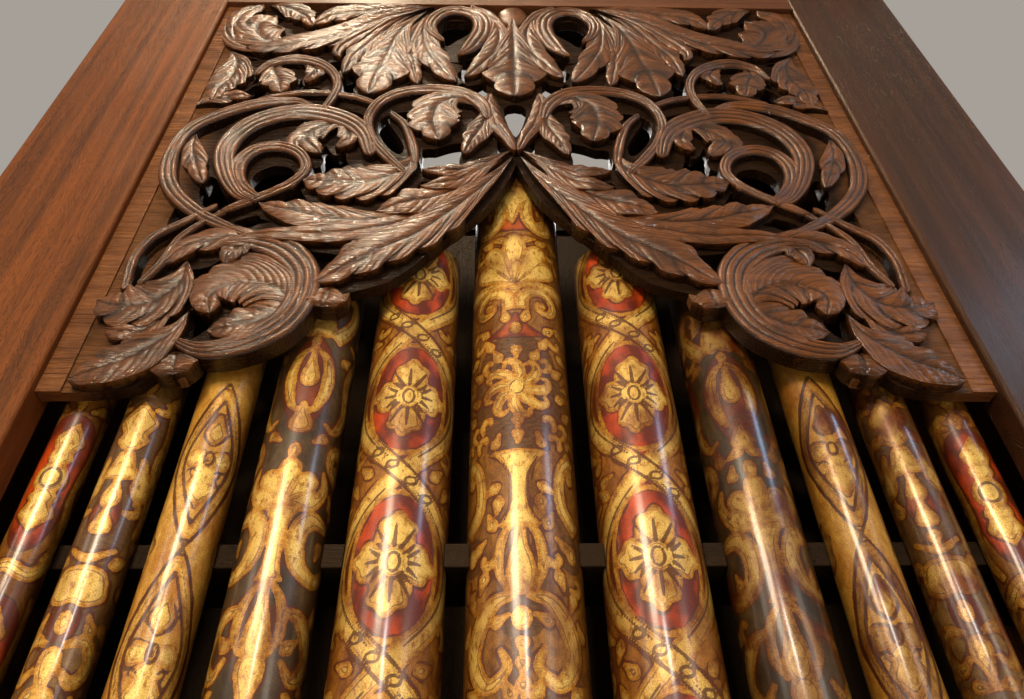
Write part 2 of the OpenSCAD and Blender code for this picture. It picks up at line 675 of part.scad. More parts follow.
post(-1);  // post_left
post(1);  // post_right
base_rail_front();
impost_moulding();
toe_board();
toe_rail();
pipe(-5);  // pipe_01
pipe(-4);  // pipe_02
pipe(-3);  // pipe_03
pipe(-2);  // pipe_04
pipe(-1);  // pipe_05
pipe(0);  // pipe_06
pipe(1);  // pipe_07
pipe(2);  // pipe_08
pipe(3);  // pipe_09
pipe(4);  // pipe_10
pipe(5);  // pipe_11
rack_board();
rack_brackets();
shade_half(-1);  // shade_left
shade_half(1);  // shade_right
shade_stems();
shade_leaves();
shade_middle_leaf();
shade_small_leaves();
head_rail();
cornice_front();
cornice_side(-1);  // cornice_left
cornice_side(1);  // cornice_right
roof_boards();
back_post(-1);  // back_post_left
back_post(1);  // back_post_right
base_rail_side(-1);  // base_rail_left
base_rail_side(1);  // base_rail_right
base_rail_back();
side_rails(-1);  // side_rails_left
side_rails(1);  // side_rails_right
side_panels(-1);  // side_panels_left
side_panels(1);  // side_panels_right
back_top_rails();
back_stile(-1);  // back_stile_left
back_stile(1);  // back_stile_right
back_panel(-1);  // back_panel_left
back_panel_middle();
back_panel(1);  // back_panel_right
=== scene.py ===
import math
import random

import bmesh
import bpy
import numpy as np
from mathutils import Matrix, Vector


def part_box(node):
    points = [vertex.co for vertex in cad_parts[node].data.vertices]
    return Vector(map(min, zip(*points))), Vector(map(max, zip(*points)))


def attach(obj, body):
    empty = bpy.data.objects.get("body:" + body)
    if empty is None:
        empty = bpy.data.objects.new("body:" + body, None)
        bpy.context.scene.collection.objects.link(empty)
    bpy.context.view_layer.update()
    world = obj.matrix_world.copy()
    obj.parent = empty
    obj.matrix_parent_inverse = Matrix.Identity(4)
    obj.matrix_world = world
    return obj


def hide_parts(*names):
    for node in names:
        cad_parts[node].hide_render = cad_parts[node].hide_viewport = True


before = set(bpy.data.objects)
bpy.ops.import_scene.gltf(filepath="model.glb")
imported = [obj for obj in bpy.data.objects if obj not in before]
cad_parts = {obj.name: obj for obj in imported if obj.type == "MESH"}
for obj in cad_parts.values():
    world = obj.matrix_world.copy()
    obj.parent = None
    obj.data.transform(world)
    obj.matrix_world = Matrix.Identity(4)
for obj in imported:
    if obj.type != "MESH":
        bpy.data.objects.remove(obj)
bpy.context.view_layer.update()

# Places on the case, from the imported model
SHADE_LOW, SHADE_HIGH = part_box("shade_right")
SPRING = SHADE_LOW.z
HALF_OPENING = SHADE_HIGH.x
SHADE_HEIGHT = SHADE_HIGH.z - SHADE_LOW.z
GROUND_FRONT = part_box("shade_small_leaves")[0].y
MM = 0.001
MARGIN = 34 * MM
ARRIS_ANGLE = 25


# Meshes
def finished_piece(name, bm, materials, slot, *nodes):
    """Turns the shaped metal or wood into a piece of the organ that stands for its nodes."""
    mesh = bpy.data.meshes.new(name)
    bm.to_mesh(mesh)
    bm.free()
    piece = bpy.data.objects.new(name, mesh)
    bpy.context.collection.objects.link(piece)
    for material in materials:
        mesh.materials.append(material)
    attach(piece, "root")
    if nodes:
        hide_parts(*nodes)
    return piece


def welded_copy(node):
    """A copy of a node's mesh with its loose triangles joined into plain faces."""
    bm = bmesh.new()
    bm.from_mesh(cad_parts[node].data)
    bmesh.ops.remove_doubles(bm, verts=bm.verts, dist=0.00001)
    bmesh.ops.dissolve_limit(bm, angle_limit=math.radians(1), verts=bm.verts, edges=bm.edges)
    return bm


def add_into(bm, part):
    """Joins a finished part into a mesh."""
    mesh = bpy.data.meshes.new("part")
    part.to_mesh(mesh)
    part.free()
    bm.from_mesh(mesh)
    bpy.data.meshes.remove(mesh)


def soften_edges(bm, width):
    """Rounds the arrises of a board as a plane and years of hands leave them."""
    sharp = [e for e in bm.edges
             if len(e.link_faces) == 2 and e.calc_face_angle() > math.radians(ARRIS_ANGLE)]
    bmesh.ops.bevel(bm, geom=sharp, offset=width, offset_type="OFFSET", segments=2, profile=0.5,
                    affect="EDGES", material=-1, clamp_overlap=True)


def board_piece(node, width, material, slot):
    """One board of the case with softened arrises."""
    bm = welded_copy(node)
    soften_edges(bm, width)
    return finished_piece(node + "_wood", bm, [material], slot, node)


# Shader trees
def fill_sockets(tree, node, inputs):
    """Gives a node's inputs their values or links."""
    for key, value in inputs.items():
        if isinstance(value, bpy.types.NodeSocket):
            tree.links.new(value, node.inputs[key])
        else:
            node.inputs[key].default_value = value
    return node


def add_node(tree, kind, inputs=None, **settings):
    """Adds a shader node, with its settings, and values or links for its inputs."""
    node = tree.nodes.new("ShaderNode" + kind)
    for name, value in settings.items():
        setattr(node, name, value)
    return fill_sockets(tree, node, inputs or {})


def compute(tree, operation, *values, clamp=False):
    """A maths node of one operation."""
    return add_node(tree, "Math", dict(enumerate(values)), operation=operation,
                    use_clamp=clamp).outputs[0]


def times(tree, value, factor):
    """One value times another."""
    return compute(tree, "MULTIPLY", value, factor)


def plus(tree, value, other, clamp=False):
    """The sum of two values."""
    return compute(tree, "ADD", value, other, clamp=clamp)


def less(tree, value, other):
    """One value less another."""
    return compute(tree, "SUBTRACT", value, other)


def remap(tree, value, low, high, to_low=0.0, to_high=1.0, smooth=False):
    """Stretches a value from one range to another and clamps it."""
    return add_node(tree, "MapRange", {"Value": value, "From Min": low, "From Max": high,
                                       "To Min": to_low, "To Max": to_high},
                    interpolation_type="SMOOTHSTEP" if smooth else "LINEAR").outputs[0]


def blend_colours(tree, factor, below, above, mode="MIX"):
    """Lays one colour over another where the factor is 1."""
    return add_node(tree, "Mix", {0: factor, 6: below, 7: above}, data_type="RGBA",
                    blend_type=mode).outputs[2]


def noise(tree, vector, scale, detail, roughness=0.5):
    """A smooth random value from 0 to 1."""
    return add_node(tree, "TexNoise", {"Vector": vector, "Scale": scale, "Detail": detail,
                                       "Roughness": roughness}).outputs[0]


def stretched(tree, vector, scale, turn=(0, 0, 0)):
    """The coordinates scaled along each axis, so that a pattern runs long one way."""
    return add_node(tree, "Mapping", {"Vector": vector, "Scale": scale, "Rotation": turn}).outputs[0]


def streaks(tree, vector, scale, detail, roughness=0.5):
    """Noise whose scale differs along each axis."""
    return noise(tree, stretched(tree, vector, scale), 1.0, detail, roughness)


def new_group(name, inputs, outputs):
    """An empty shader group with its tree, given inputs and outputs to fill. An input has a
    default, or None for coordinates. The output named Color is a colour, the others values."""
    tree = bpy.data.node_groups.new(name, "ShaderNodeTree")
    for socket, default in inputs.items():
        kind = "Vector" if default is None else "Color" if isinstance(default, tuple) else "Float"
        made = tree.interface.new_socket(socket, in_out="INPUT", socket_type="NodeSocket" + kind)
        if default is not None:
            made.default_value = default
    for socket in outputs:
        kind = "Color" if socket == "Color" else "Float"
        tree.interface.new_socket(socket, in_out="OUTPUT", socket_type="NodeSocket" + kind)
    return tree, tree.nodes.new("NodeGroupInput").outputs, tree.nodes.new("NodeGroupOutput").inputs


def fill_group(tree, given, outputs):
    """Links what a group puts out, and returns the group."""
    for name, value in outputs.items():
        tree.links.new(value, given[name])
    return tree


def use_group(tree, group, inputs):
    """Places a group in a material, gives it its values and returns its outputs."""
    return add_node(tree, "Group", inputs, node_tree=group).outputs


def new_material(name, constants):
    """A material with one Principled shader that holds the constants, its tree and the shader."""
    material = bpy.data.materials.new(name)
    material.use_nodes = True
    tree = material.node_tree
    return material, tree, fill_sockets(tree, tree.nodes["Principled BSDF"], constants)


def bumped(tree, height, strength, distance):
    """The normal of a surface raised by a height."""
    return add_node(tree, "Bump", {"Strength": strength, "Distance": distance, "Height": height}).outputs[0]
# Drawing on a pipe. A place is (u, v) in millimetres: u along the skin from its front
# line, v up from the springing of the shade. Reach is how far from a shape's edge its
# distance is kept, and clear how far a small leaf stays from what is painted.
PAINT_LAYERS = ("dark", "red", "gold", "line")
PAINT_REACH = 9.0
CLEAR = 8.5


def curve_point(a, b, c, d, t):
    """Point between b and c on the smooth curve through four points."""
    return 0.5 * (2 * b + (c - a) * t + (2 * a - 5 * b + 4 * c - d) * t ** 2
                  + (3 * b - a - 3 * c + d) * t ** 3)


def smooth_ring(points, steps=3):
    """Closed smooth outline through the points."""
    p = [np.array(q, float) for q in points]
    n = len(p)
    return np.array([curve_point(p[i - 1], p[i], p[(i + 1) % n], p[(i + 2) % n], k / steps)
                     for i in range(n) for k in range(steps)])


def mirrored_ring(right, steps=3):
    """Closed smooth outline from its right half. Points on the middle line are not repeated."""
    return smooth_ring(right + [(-u, v) for u, v in reversed(right) if u], steps)


def smooth_line(points, steps=6):
    """Open smooth line through the points."""
    p = [np.array(q, float) for q in points]
    p = [2 * p[0] - p[1]] + p + [2 * p[-1] - p[-2]]
    inner = [curve_point(*p[i:i + 4], k / steps) for i in range(len(p) - 3) for k in range(steps)]
    return np.array(inner + [p[-2]])


def along(spine):
    """Share of its length at each point of a line, and the unit vector to its left."""
    run = np.linalg.norm(np.diff(spine, axis=0), axis=1)
    share = np.concatenate([[0.0], np.cumsum(run)]) / run.sum()
    way = np.gradient(spine, axis=0)
    way /= np.linalg.norm(way, axis=1)[:, None] + 1e-9
    return share, np.stack([-way[:, 1], way[:, 0]], axis=1)


def stroke(points, widths):
    """Outline of a brush stroke along the points, with its widths from start to end."""
    spine = smooth_line(points)
    share, left = along(spine)
    half = np.interp(share, np.linspace(0, 1, len(widths)), widths)[:, None] / 2
    return np.concatenate([spine + left * half, (spine - left * half)[::-1]])


def coil(u, v, radius, turns, start, hand=1):
    """Points of a coil that winds in to its eye."""
    t = np.linspace(0, 1, int(turns * 9) + 2)
    angle = np.radians(start) + hand * 2 * np.pi * turns * t
    r = radius * (1 - 0.85 * t)
    return [(u + a, v + b) for a, b in zip(r * np.cos(angle), r * np.sin(angle))]


def oval(u, v, half_u, half_v):
    """An oval about (u, v)."""
    t = np.linspace(0, 2 * np.pi, 20, endpoint=False)
    return np.stack([u + half_u * np.cos(t), v + half_v * np.sin(t)], axis=1)


def turned(outline, u, v, turn):
    """An outline drawn about the origin, turned clockwise and set at its place."""
    c, s = math.cos(math.radians(turn)), math.sin(math.radians(turn))
    return outline @ np.array([[c, -s], [s, c]]) + (u, v)


def petal(u, v, length, width, turn):
    """A club-shaped petal from its root at (u, v), pointing up before it is turned."""
    side = [(0.10, 0.0), (0.22, 0.3), (0.46, 0.6), (0.5, 0.78), (0.35, 0.94), (0, 1)]
    return turned(mirrored_ring([(w * width, h * length) for w, h in side]), u, v, turn)


def lobed_petal(u, v, reach, half, turn):
    """A rounded petal with five lobes on its rim, centred at its reach from (u, v)."""
    t = np.linspace(0, 2 * np.pi, 50, endpoint=False)
    rim = half * (1 + 0.15 * np.cos(5 * t - 0.5 * np.pi) * (0.6 + 0.4 * np.sin(t)))
    shape = np.stack([rim * np.cos(t), reach + rim * np.sin(t) * 1.05], axis=1)
    return turned(shape, u, v, turn)


def leaf(u, v, half_w, length, turn=0, tips=2):
    """A pointed leaf with small side tips, from its root at (u, v) upwards."""
    right = [(0.25 * half_w, 0)]
    for k in range(tips):
        low = (k + 0.35) / (tips + 0.6)
        bulge = math.sin(math.pi * (0.2 + 0.68 * low))
        right += [(half_w * bulge, length * (low + 0.06)),
                  (half_w * bulge * 0.72, length * (low + 0.5 / (tips + 0.6)))]
    return turned(mirrored_ring(right + [(0.12 * half_w, 0.93 * length), (0, length)]), u, v, turn)


class Painting:
    """The painted shapes of one pipe, layer by layer. Each ornament is drawn about the
    height that it hangs from, on the line that the ornaments run down."""

    def __init__(self, line_u):
        """An empty painting whose ornaments run down the line at u."""
        self.origin = np.array([line_u, 0.0])
        self.shapes = {layer: [] for layer in PAINT_LAYERS}

    def hang(self, v):
        """Sets the height that the next shapes are drawn about."""
        self.origin = np.array([self.origin[0], v])

    def add(self, layer, outline, hole=None):
        """Paints a shape, or a ring with a hole."""
        self.shapes[layer].append([np.asarray(part) + self.origin for part in (outline, hole)
                                   if part is not None])

    def pair(self, layer, outline):
        """The outline and its mirror image across the ornament line."""
        self.add(layer, outline)
        self.add(layer, np.asarray(outline) * (-1.0, 1.0))

    def ring(self, layer, u, v, half_u, half_v, width):
        """An oval band of one width."""
        self.add(layer, oval(u, v, half_u, half_v), oval(u, v, half_u - width, half_v - width))

    def distances(self, layer, places):
        """How deep each place lies inside the layer's shapes, below zero outside."""
        depth = np.full(len(places), -PAINT_REACH)
        for shape in self.shapes[layer]:
            low, high = shape[0].min(0) - PAINT_REACH, shape[0].max(0) + PAINT_REACH
            near = np.flatnonzero(((places > low) & (places < high)).all(1))
            if len(near):
                inside = inside_distance(places[near], shape[0])
                if len(shape) > 1:
                    inside = np.minimum(inside, -inside_distance(places[near], shape[1]))
                depth[near] = np.maximum(depth[near], inside)
        return np.clip(depth, -PAINT_REACH, PAINT_REACH)


def inside_distance(places, outline):
    """Distance from each place to a closed outline, above zero inside it."""
    start, end = outline, np.roll(outline, -1, axis=0)
    edge = end - start
    away = places[:, None, :] - start
    share = (away * edge).sum(-1) / np.maximum((edge ** 2).sum(-1), 1e-9)
    gap = away - np.clip(share, 0, 1)[..., None] * edge
    nearest = np.sqrt((gap ** 2).sum(-1).min(1))
    rises = (start[:, 1] > places[:, 1:2]) != (end[:, 1] > places[:, 1:2])
    slope = edge[:, 0] / np.where(np.abs(edge[:, 1]) < 1e-9, 1e-9, edge[:, 1])
    left_of = places[:, 0:1] < slope * (places[:, 1:2] - start[:, 1]) + start[:, 0]
    return np.where((rises & left_of).sum(1) % 2 == 1, nearest, -nearest)


# Ornaments
def palmette(art, v, height, count=5, spread=120, width=0.36):
    """A fan of gold petals standing on (0, v)."""
    for k in range(count):
        turn = (k / (count - 1) - 0.5) * spread
        length = height * (1 - 0.28 * abs(turn) / (spread / 2))
        art.add("gold", petal(0, v, length, height * width, turn))


def flower(art, reach, half, tall):
    """A gold flower of four lobed petals and eight curling leaves, with dark strokes, round an eye."""
    for turn, far in ((0, tall), (90, 1.0), (180, tall), (270, 1.0)):
        art.add("gold", lobed_petal(0, 0, reach * far, half, turn + 4))
        for lean in (-22, 0, 22):
            vein = [(0, reach * 0.6), (0.1 * lean, reach * 0.95), (0.25 * lean, reach * far * 1.25)]
            art.add("line", turned(stroke(vein, [6, 5, 3]), 0, 0, turn + lean))
        for side in (-1, 1):
            curl = [(side * 3, reach * 0.7), (side * 5, reach * 1.15), (side * 13, reach * 1.45)]
            art.add("gold", turned(stroke(curl, [8, 8, 4]), 0, 0, turn + 45))
    art.add("gold", oval(0, 0, reach * 0.62, reach * 0.7))
    for turn in (45, 135, 225, 315):
        ray = [(0, reach * 0.5), (2, reach * 0.9), (0, reach * 1.25)]
        art.add("line", turned(stroke(ray, [3, 6, 2]), 0, 0, turn))
    art.ring("line", 0, 0, 0.34 * reach, 0.48 * reach, 4)


def spindle(art, v, length, wide, neck):
    """A gold baluster with hollow sides, hanging from v."""
    side = [(wide, 0), (0.8 * wide, -0.06), (0.45 * wide, -0.25), (neck, -0.55), (1.1 * neck, -0.8),
            (0.6 * wide, -0.95), (0.62 * wide, -1)]
    art.add("gold", mirrored_ring([(u, v + share * length) for u, share in side]))


def bud(art, v, length, half, lean):
    """A gold bud hanging from v between two curling leaves."""
    art.add("gold", petal(0, v, length, 1.7 * half, 180))
    art.pair("gold", stroke([(4, v + 6), (lean, v - 0.2 * length), (lean + 6, v - 0.6 * length),
                             (lean - 4, v - 0.95 * length)], [3, 9, 10, 2]))


def fill_ground(art, seed, highest):
    """Small gold leaves, curls and drops in pairs where the ground would lie bare."""
    chance = random.Random(seed)
    art.hang(0)
    for row in range(-17, 20):
        for column in range(4):
            u = 0 if column == 0 else 27 * column + chance.uniform(-5, 5) - 12 * (row % 2)
            v = 25 * row + chance.uniform(-5, 5)
            place = np.array([[u, v]]) + art.origin
            if v > highest or max(art.distances(layer, place)[0] for layer in ("gold", "red")) > -CLEAR:
                continue
            turn = chance.choice((20, 60, 120, 160)) + chance.uniform(-15, 15)
            kind = chance.choice(("leaf", "leaf", "curl", "drop"))
            if column == 0:
                art.add("gold", petal(0, v - 11, 22, 15, 0))
            elif kind == "leaf":
                art.pair("gold", turned(leaf(0, -13, 8, 26, 0, 1), u, v, turn))
            elif kind == "curl":
                curl = stroke([(0, -13), (7, -6), (8, 4), (0, 9), (-5, 4)], [3, 8, 9, 7, 4])
                art.pair("gold", turned(curl, u, v, turn - 60))
            else:
                art.pair("gold", turned(petal(0, -11, 23, 13, 0), u, v, turn))


def crown_ornament(art):
    """The gold crown at the top of the middle pipe, drawn about the springing."""
    art.add("gold", smooth_ring([(-62, 472), (-30, 490), (-15, 496), (5, 492), (30, 480), (40, 462),
                                 (26, 452), (14, 436), (5, 408), (-2, 390), (-9, 402), (-14, 434),
                                 (-26, 452), (-50, 458)]))
    art.add("red", mirrored_ring([(0, 470), (24, 450), (28, 400), (24, 376)]))
    art.pair("gold", stroke([(34, 470), (24, 440), (26, 402), (42, 380), (62, 384), (70, 408),
                             (62, 436), (46, 432), (46, 416)], [10, 16, 20, 22, 20, 14, 8, 6, 3]))


def centre_ornament(art):
    """The run of ornament down the middle pipe, from its top."""
    art.add("dark", stroke([(-90, 0), (-45, 6), (45, 6), (90, 0)], [16, 18, 18, 16]))
    palmette(art, -132, 122, 5, 104, 0.3)
    art.pair("gold", petal(14, -130, 92, 26, 88))
    art.pair("gold", stroke(coil(44, -172, 36, 1.2, 200, -1), [19, 19, 13.3, 3]))
    art.pair("gold", oval(44, -172, 5.76, 5.76))
    art.pair("gold", stroke([(6, -136), (30, -128), (60, -130), (88, -150)], [6, 10, 12, 4]))
    art.add("red", mirrored_ring([(0, -194), (20, -222), (44, -236), (0, -244)], 4))
    art.add("gold", oval(0, -226, 7, 10))
    art.add("dark", mirrored_ring([(0, -238), (40, -250), (66, -290), (74, -340), (62, -400),
                                   (30, -428), (0, -432)]))
    for turn in range(0, 360, 45):
        art.add("gold", turned(stroke([(0, 8), (5, 26), (-2, 44), (-15, 48), (-19, 38)],
                                      [8, 15, 14, 9, 3]), 0, -338, turn))
    art.add("gold", oval(0, -338, 15, 18))
    art.ring("line", 0, -338, 11, 13, 2.6)
    art.add("dark", stroke([(-46, -434), (46, -434)], [15, 15]))
    spindle(art, -444, 108, 36, 12)
    art.pair("line", stroke([(26, -452), (13, -480), (12, -520), (20, -545)], [2, 5, 5, 2]))
    art.pair("gold", stroke([(84, -440), (60, -470), (58, -520), (84, -548)], [20, 14, 16, 24]))
    art.pair("dark", oval(70, -582, 24, 26))
    art.pair("gold", oval(72, -582, 9, 11))
    bud(art, -548, 92, 20, 22)
    art.add("dark", oval(0, -668, 28, 24))
    art.add("gold", oval(0, -668, 11, 13))
    art.pair("gold", stroke([(8, -640), (40, -652), (66, -700), (44, -738), (18, -722), (26, -700)],
                            [8, 20, 26, 20, 12, 4]))
    art.add("dark", stroke([(0, -680), (0, -760)], [16, 12]))


def second_ornament(art):
    """One red field with its flower, and the ribbons that cross above and below it."""
    half = 122
    art.add("red", oval(0, 0, 66, 102))
    art.ring("gold", 0, 0, 61, 96, 4)
    flower(art, 29, 22, 1.38)
    for side in (-1, 1):
        ribbon = [(side * 84 * math.cos(math.pi * v / (2 * half)), v) for v in range(136, -135, -18)]
        art.add("gold", stroke(ribbon, [24, 24]))
        art.add("line", stroke([(u - side * 6, v) for u, v in ribbon[2:14]], [3, 4, 4, 3]))

    def over(t):
        """Where the upper ribbon runs, t above the crossing."""
        return -84 * math.sin(math.pi * t / (2 * half)), t - half

    for shift in (-12, 12):
        edge = [np.add(over(t), (0.75 * shift, 0.7 * shift)) for t in (-46, -28, -10, 10, 28, 46)]
        art.add("line", stroke(edge, [3, 5, 3]))
    for t in (-34, -12, 12, 34):
        art.ring("line", *over(t), 10, 7.5, 4)
    art.pair("dark", oval(100, -half, 30, 44))
    art.pair("gold", stroke(coil(98, -half - 4, 24, 1.1, 90, -1), [11, 10, 8, 3]))
    art.pair("gold", petal(76, 34 - half, 40, 18, 60))
    art.pair("gold", petal(76, -half - 36, 40, 18, 118))


def third_ornament(art):
    """Gold leaf work on the dark ground of the third pipes, from its top."""
    art.pair("gold", stroke([(26, -90), (44, -66), (58, -34), (54, -4), (34, 2), (26, -16), (36, -26)],
                            [22, 20, 17, 18, 14, 9, 4]))
    art.add("gold", mirrored_ring([(0, -20), (16, -40), (26, -76), (14, -90), (0, -84)]))
    art.add("gold", oval(0, -100, 6, 9))
    art.add("red", mirrored_ring([(0, -92), (30, -128), (38, -176), (22, -230), (0, -262)], 4))
    art.pair("gold", stroke([(3, -112), (20, -130), (28, -168), (18, -214), (4, -228)], [3, 12, 17, 12, 3]))
    art.add("gold", petal(0, -120, 62, 24, 180))
    art.add("gold", petal(0, -212, 48, 30, 180))
    art.add("gold", oval(0, -290, 7, 11))
    palmette(art, -366, 64, 5, 150, 0.42)
    art.pair("gold", stroke([(10, -372), (34, -366), (52, -336), (46, -312)], [5, 12, 14, 3]))
    spindle(art, -372, 96, 22, 8)
    art.pair("gold", stroke([(70, -386), (38, -384), (24, -412), (32, -446), (58, -458), (78, -440),
                             (70, -420)], [10, 22, 22, 22, 18, 12, 5]))
    art.pair("gold", stroke([(84, -100), (66, -150), (70, -210), (50, -246), (34, -240)],
                            [10, 16, 20, 16, 3]))
    art.pair("gold", stroke([(88, -268), (60, -276), (56, -300), (80, -316)], [26, 16, 12, 20]))
    bud(art, -474, 84, 17, 20)
    art.pair("gold", stroke([(22, -500), (52, -510), (72, -548), (50, -574), (32, -556)],
                            [6, 20, 24, 16, 4]))
    art.add("gold", petal(0, -620, 70, 30, 0))


def fourth_ornament(art):
    """One lozenge of straps round a cross flower."""
    half = 124
    for side in (-1, 1):
        for layer, across, widths in (
                ("line", ((0, half), (17, 92), (38, 34), (44, 0)), [4, 5, 4]),
                ("line", ((0, 94), (26, 28), (31, 0)), [4, 4.6, 4]),
                ("gold", ((0, 110), (22, 60), (38, 0)), [8, 10, 8])):
            strap = [(side * u, v) for u, v in across]
            art.add(layer, stroke(strap + [(u, -v) for u, v in strap[-2::-1]], widths))
    art.add("gold", leaf(0, 24, 14, 44, 0, 1))
    art.pair("gold", lobed_petal(0, 0, 17, 12, 90))
    art.add("gold", leaf(0, -8, 20, 62, 180))
    art.ring("line", 0, 0, 8, 12, 4)
    art.pair("line", stroke([(4, 22), (11, 30), (13, 40)], [3, 4, 3]))
    art.pair("line", stroke([(10, -22), (16, -16), (24, -18)], [3, 4, 3]))
    art.pair("gold", leaf(56, -half - 30, 13, 60))
    art.pair("line", stroke([(52, -84), (62, -124), (52, -164)], [2, 4, 2]))


def fifth_ornament(art):
    """Bells, pods and leaves on the dark ground of the fifth pipes, from its top."""
    art.add("dark", mirrored_ring([(0, 0), (30, -6), (40, -40), (34, -120), (38, -210), (20, -236)], 4))
    art.add("gold", leaf(0, -84, 25, 76))
    art.add("gold", mirrored_ring([(8, -90), (14, -108), (22, -124), (0, -128)]))
    art.pair("gold", petal(24, -96, 58, 26, 168))
    art.add("red", petal(0, -118, 84, 34, 180))
    art.add("gold", petal(0, -124, 44, 22, 180))
    art.add("gold", petal(0, -170, 34, 24, 180))
    art.add("gold", stroke([(-28, -222), (0, -236), (28, -222)], [3, 8, 3]))
    art.pair("gold", stroke([(46, -10), (52, -60), (44, -96), (56, -150), (48, -200)],
                            [10, 16, 12, 20, 8]))
    art.add("gold", mirrored_ring([(0, -246), (26, -252), (34, -280), (14, -292), (0, -288)]))
    art.add("red", oval(0, -312, 16, 22))
    art.add("gold", oval(0, -312, 7, 12))
    art.pair("gold", stroke([(10, -336), (30, -330), (44, -350), (30, -374), (14, -362)],
                            [5, 14, 16, 12, 4]))
    art.add("gold", petal(0, -396, 56, 22, 0))


def outer_ornament(art):
    """A red field with a gold flame leaf and a ring, from its top."""
    art.add("red", mirrored_ring([(0, 0), (24, -10), (36, -44), (34, -110), (20, -176), (0, -196)], 4))
    art.add("gold", leaf(0, -78, 18, 66, 6))
    art.add("gold", oval(0, -96, 19, 21))
    art.ring("line", 0, -96, 14, 16, 4.5)
    art.add("gold", leaf(0, -112, 21, 58, 180))
    art.pair("gold", stroke([(42, 6), (44, -50), (36, -110), (44, -170), (30, -204)], [8, 12, 8, 14, 6]))
    art.add("gold", stroke([(-40, -236), (-10, -214), (20, -222), (44, -200)], [16, 14, 14, 12]))
    art.pair("dark", oval(38, -236, 12, 20))




# Front pipes: the toe and foot, whose height grows by a step from pipe to pipe outwards,
# then the wall, the ears of the larger pipes and the dents of the skin
TOE_RADIUS = 12 * MM
TOE_STRAIGHT = 10 * MM
TOE_SEAT = 6 * MM
FOOT_HEIGHT = 270 * MM
FOOT_STEP = 74 * MM
PIPE_WALL = 1.6 * MM
LINING_ABOVE_LIP = 50 * MM
EAR_OUT = 12 * MM
EAR_ROUNDING = 5 * MM
EAR_THICK = 1.6 * MM
LEAST_EARED = 50 * MM
DENT = 0.35 * MM
DENTS_FROM_LIP = 100 * MM
DENTS_TO_TOP = 50 * MM

# Shares of the radius: half the flat of the mouth, the lips' lengths and the chamber. The
# cut-up is a share of the flat's width, and the opening's width a share of the flat's.
MOUTH_SHARE = 0.72
UPPER_LIP = 2.2
LOWER_LIP = 1.7
CHAMBER_DEPTH = 0.9
CUT_SHARE = 0.27
MOUTH_WIDTH = 0.97

# Mesh of a pipe: how far under the springing its rings lie close, and the angle from which
# an edge stays sharp
FINE_BELOW_SPRING = 430 * MM
SHARP_ANGLE = 22
WELD = 0.01 * MM

# Steps round a pipe, in millimetres, in front, at its sides and behind, and where the side
# and the back begin, in degrees from the front
RING_STEPS = (3, 8, 18)
SIDE_FROM, BACK_FROM = 84, 116

# Places of a pipe's plain metals in its list of materials, after the painted one
SHADED_INSIDE, RIM = 1, 2


class FrontPipe:
    """The sizes of one front pipe, from its CAD node."""

    def __init__(self, number):
        """Rank is how many places the pipe stands from the middle one, number 6."""
        self.number = number
        self.node = f"pipe_{number:02d}"
        low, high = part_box(self.node)
        self.radius = (high.x - low.x) / 2
        self.x = (low.x + high.x) / 2
        self.y = high.y - self.radius
        self.toe = low.z
        self.top = high.z
        self.rank = abs(number - 6)
        self.mouth = low.z + TOE_SEAT + FOOT_HEIGHT + FOOT_STEP * self.rank
        self.chord = MOUTH_SHARE * self.radius
        self.flat = self.radius - math.sqrt(self.radius ** 2 - self.chord ** 2)
        self.lip = self.mouth + 2 * self.chord * CUT_SHARE
        self.upper_end = self.lip + UPPER_LIP * self.radius
        self.lower_end = self.mouth - LOWER_LIP * self.radius

    def radius_at(self, z):
        """Radius of the foot and body at a height."""
        share = (z - self.toe - TOE_STRAIGHT) / (self.mouth - self.toe - TOE_STRAIGHT)
        return TOE_RADIUS + (self.radius - TOE_RADIUS) * min(1.0, max(0.0, share))

    def front_limit(self, z):
        """How far forward the skin may stand where the lips are beaten flat."""
        if self.lip <= z < self.upper_end:
            return -self.radius + self.flat * (self.upper_end - z) / (self.upper_end - self.lip)
        if self.mouth <= z < self.lip:
            return -self.radius + self.flat
        if self.lower_end < z < self.mouth:
            end = -self.radius_at(self.lower_end)
            share = (z - self.lower_end) / (self.mouth - self.lower_end)
            return end + (-self.radius + self.flat - end) * share
        return -1.0


def spaced(start, stop, step):
    """Evenly spaced places from start up to, but not with, stop."""
    count = max(1, round((stop - start) / step))
    return [start + (stop - start) * i / count for i in range(count)]


def ring_angles(radius):
    """Angles round a pipe from its back, close together in front, where its paint shows."""
    fine, middle, coarse = (math.degrees(size * MM / radius) for size in RING_STEPS)
    right = spaced(0, SIDE_FROM, fine) + spaced(SIDE_FROM, BACK_FROM, middle)
    right += spaced(BACK_FROM, 180, coarse) + [180]
    return [-a for a in reversed(right[1:])] + right


def ring_heights(pipe):
    """Heights of the rings of a pipe, close together where its paint shows best."""
    fine_from = max(pipe.upper_end, SPRING - FINE_BELOW_SPRING)
    spans = ((pipe.toe, 5), (pipe.toe + TOE_STRAIGHT, 9), (pipe.lower_end, 7), (pipe.mouth, 9),
             (pipe.lip, 7), (pipe.upper_end, 7), (fine_from, 3), (pipe.top, None))
    heights = []
    for (low, step), (high, _) in zip(spans, spans[1:]):
        heights += spaced(low, high, step * MM)
    return heights + [pipe.top]


def dented(pipe, angle, z):
    """Slight unevenness of a hand-planed and rolled skin."""
    fade = min(1.0, max(0.0, (z - pipe.upper_end) / DENTS_FROM_LIP))
    fade *= min(1.0, max(0.0, (pipe.top - z) / DENTS_TO_TOP))
    wave = math.sin(2 * angle + 31 * z + 2.1 * pipe.number) + math.sin(3 * angle - 57 * z + pipe.number)
    return -0.5 * DENT * fade * (1 + 0.5 * wave)


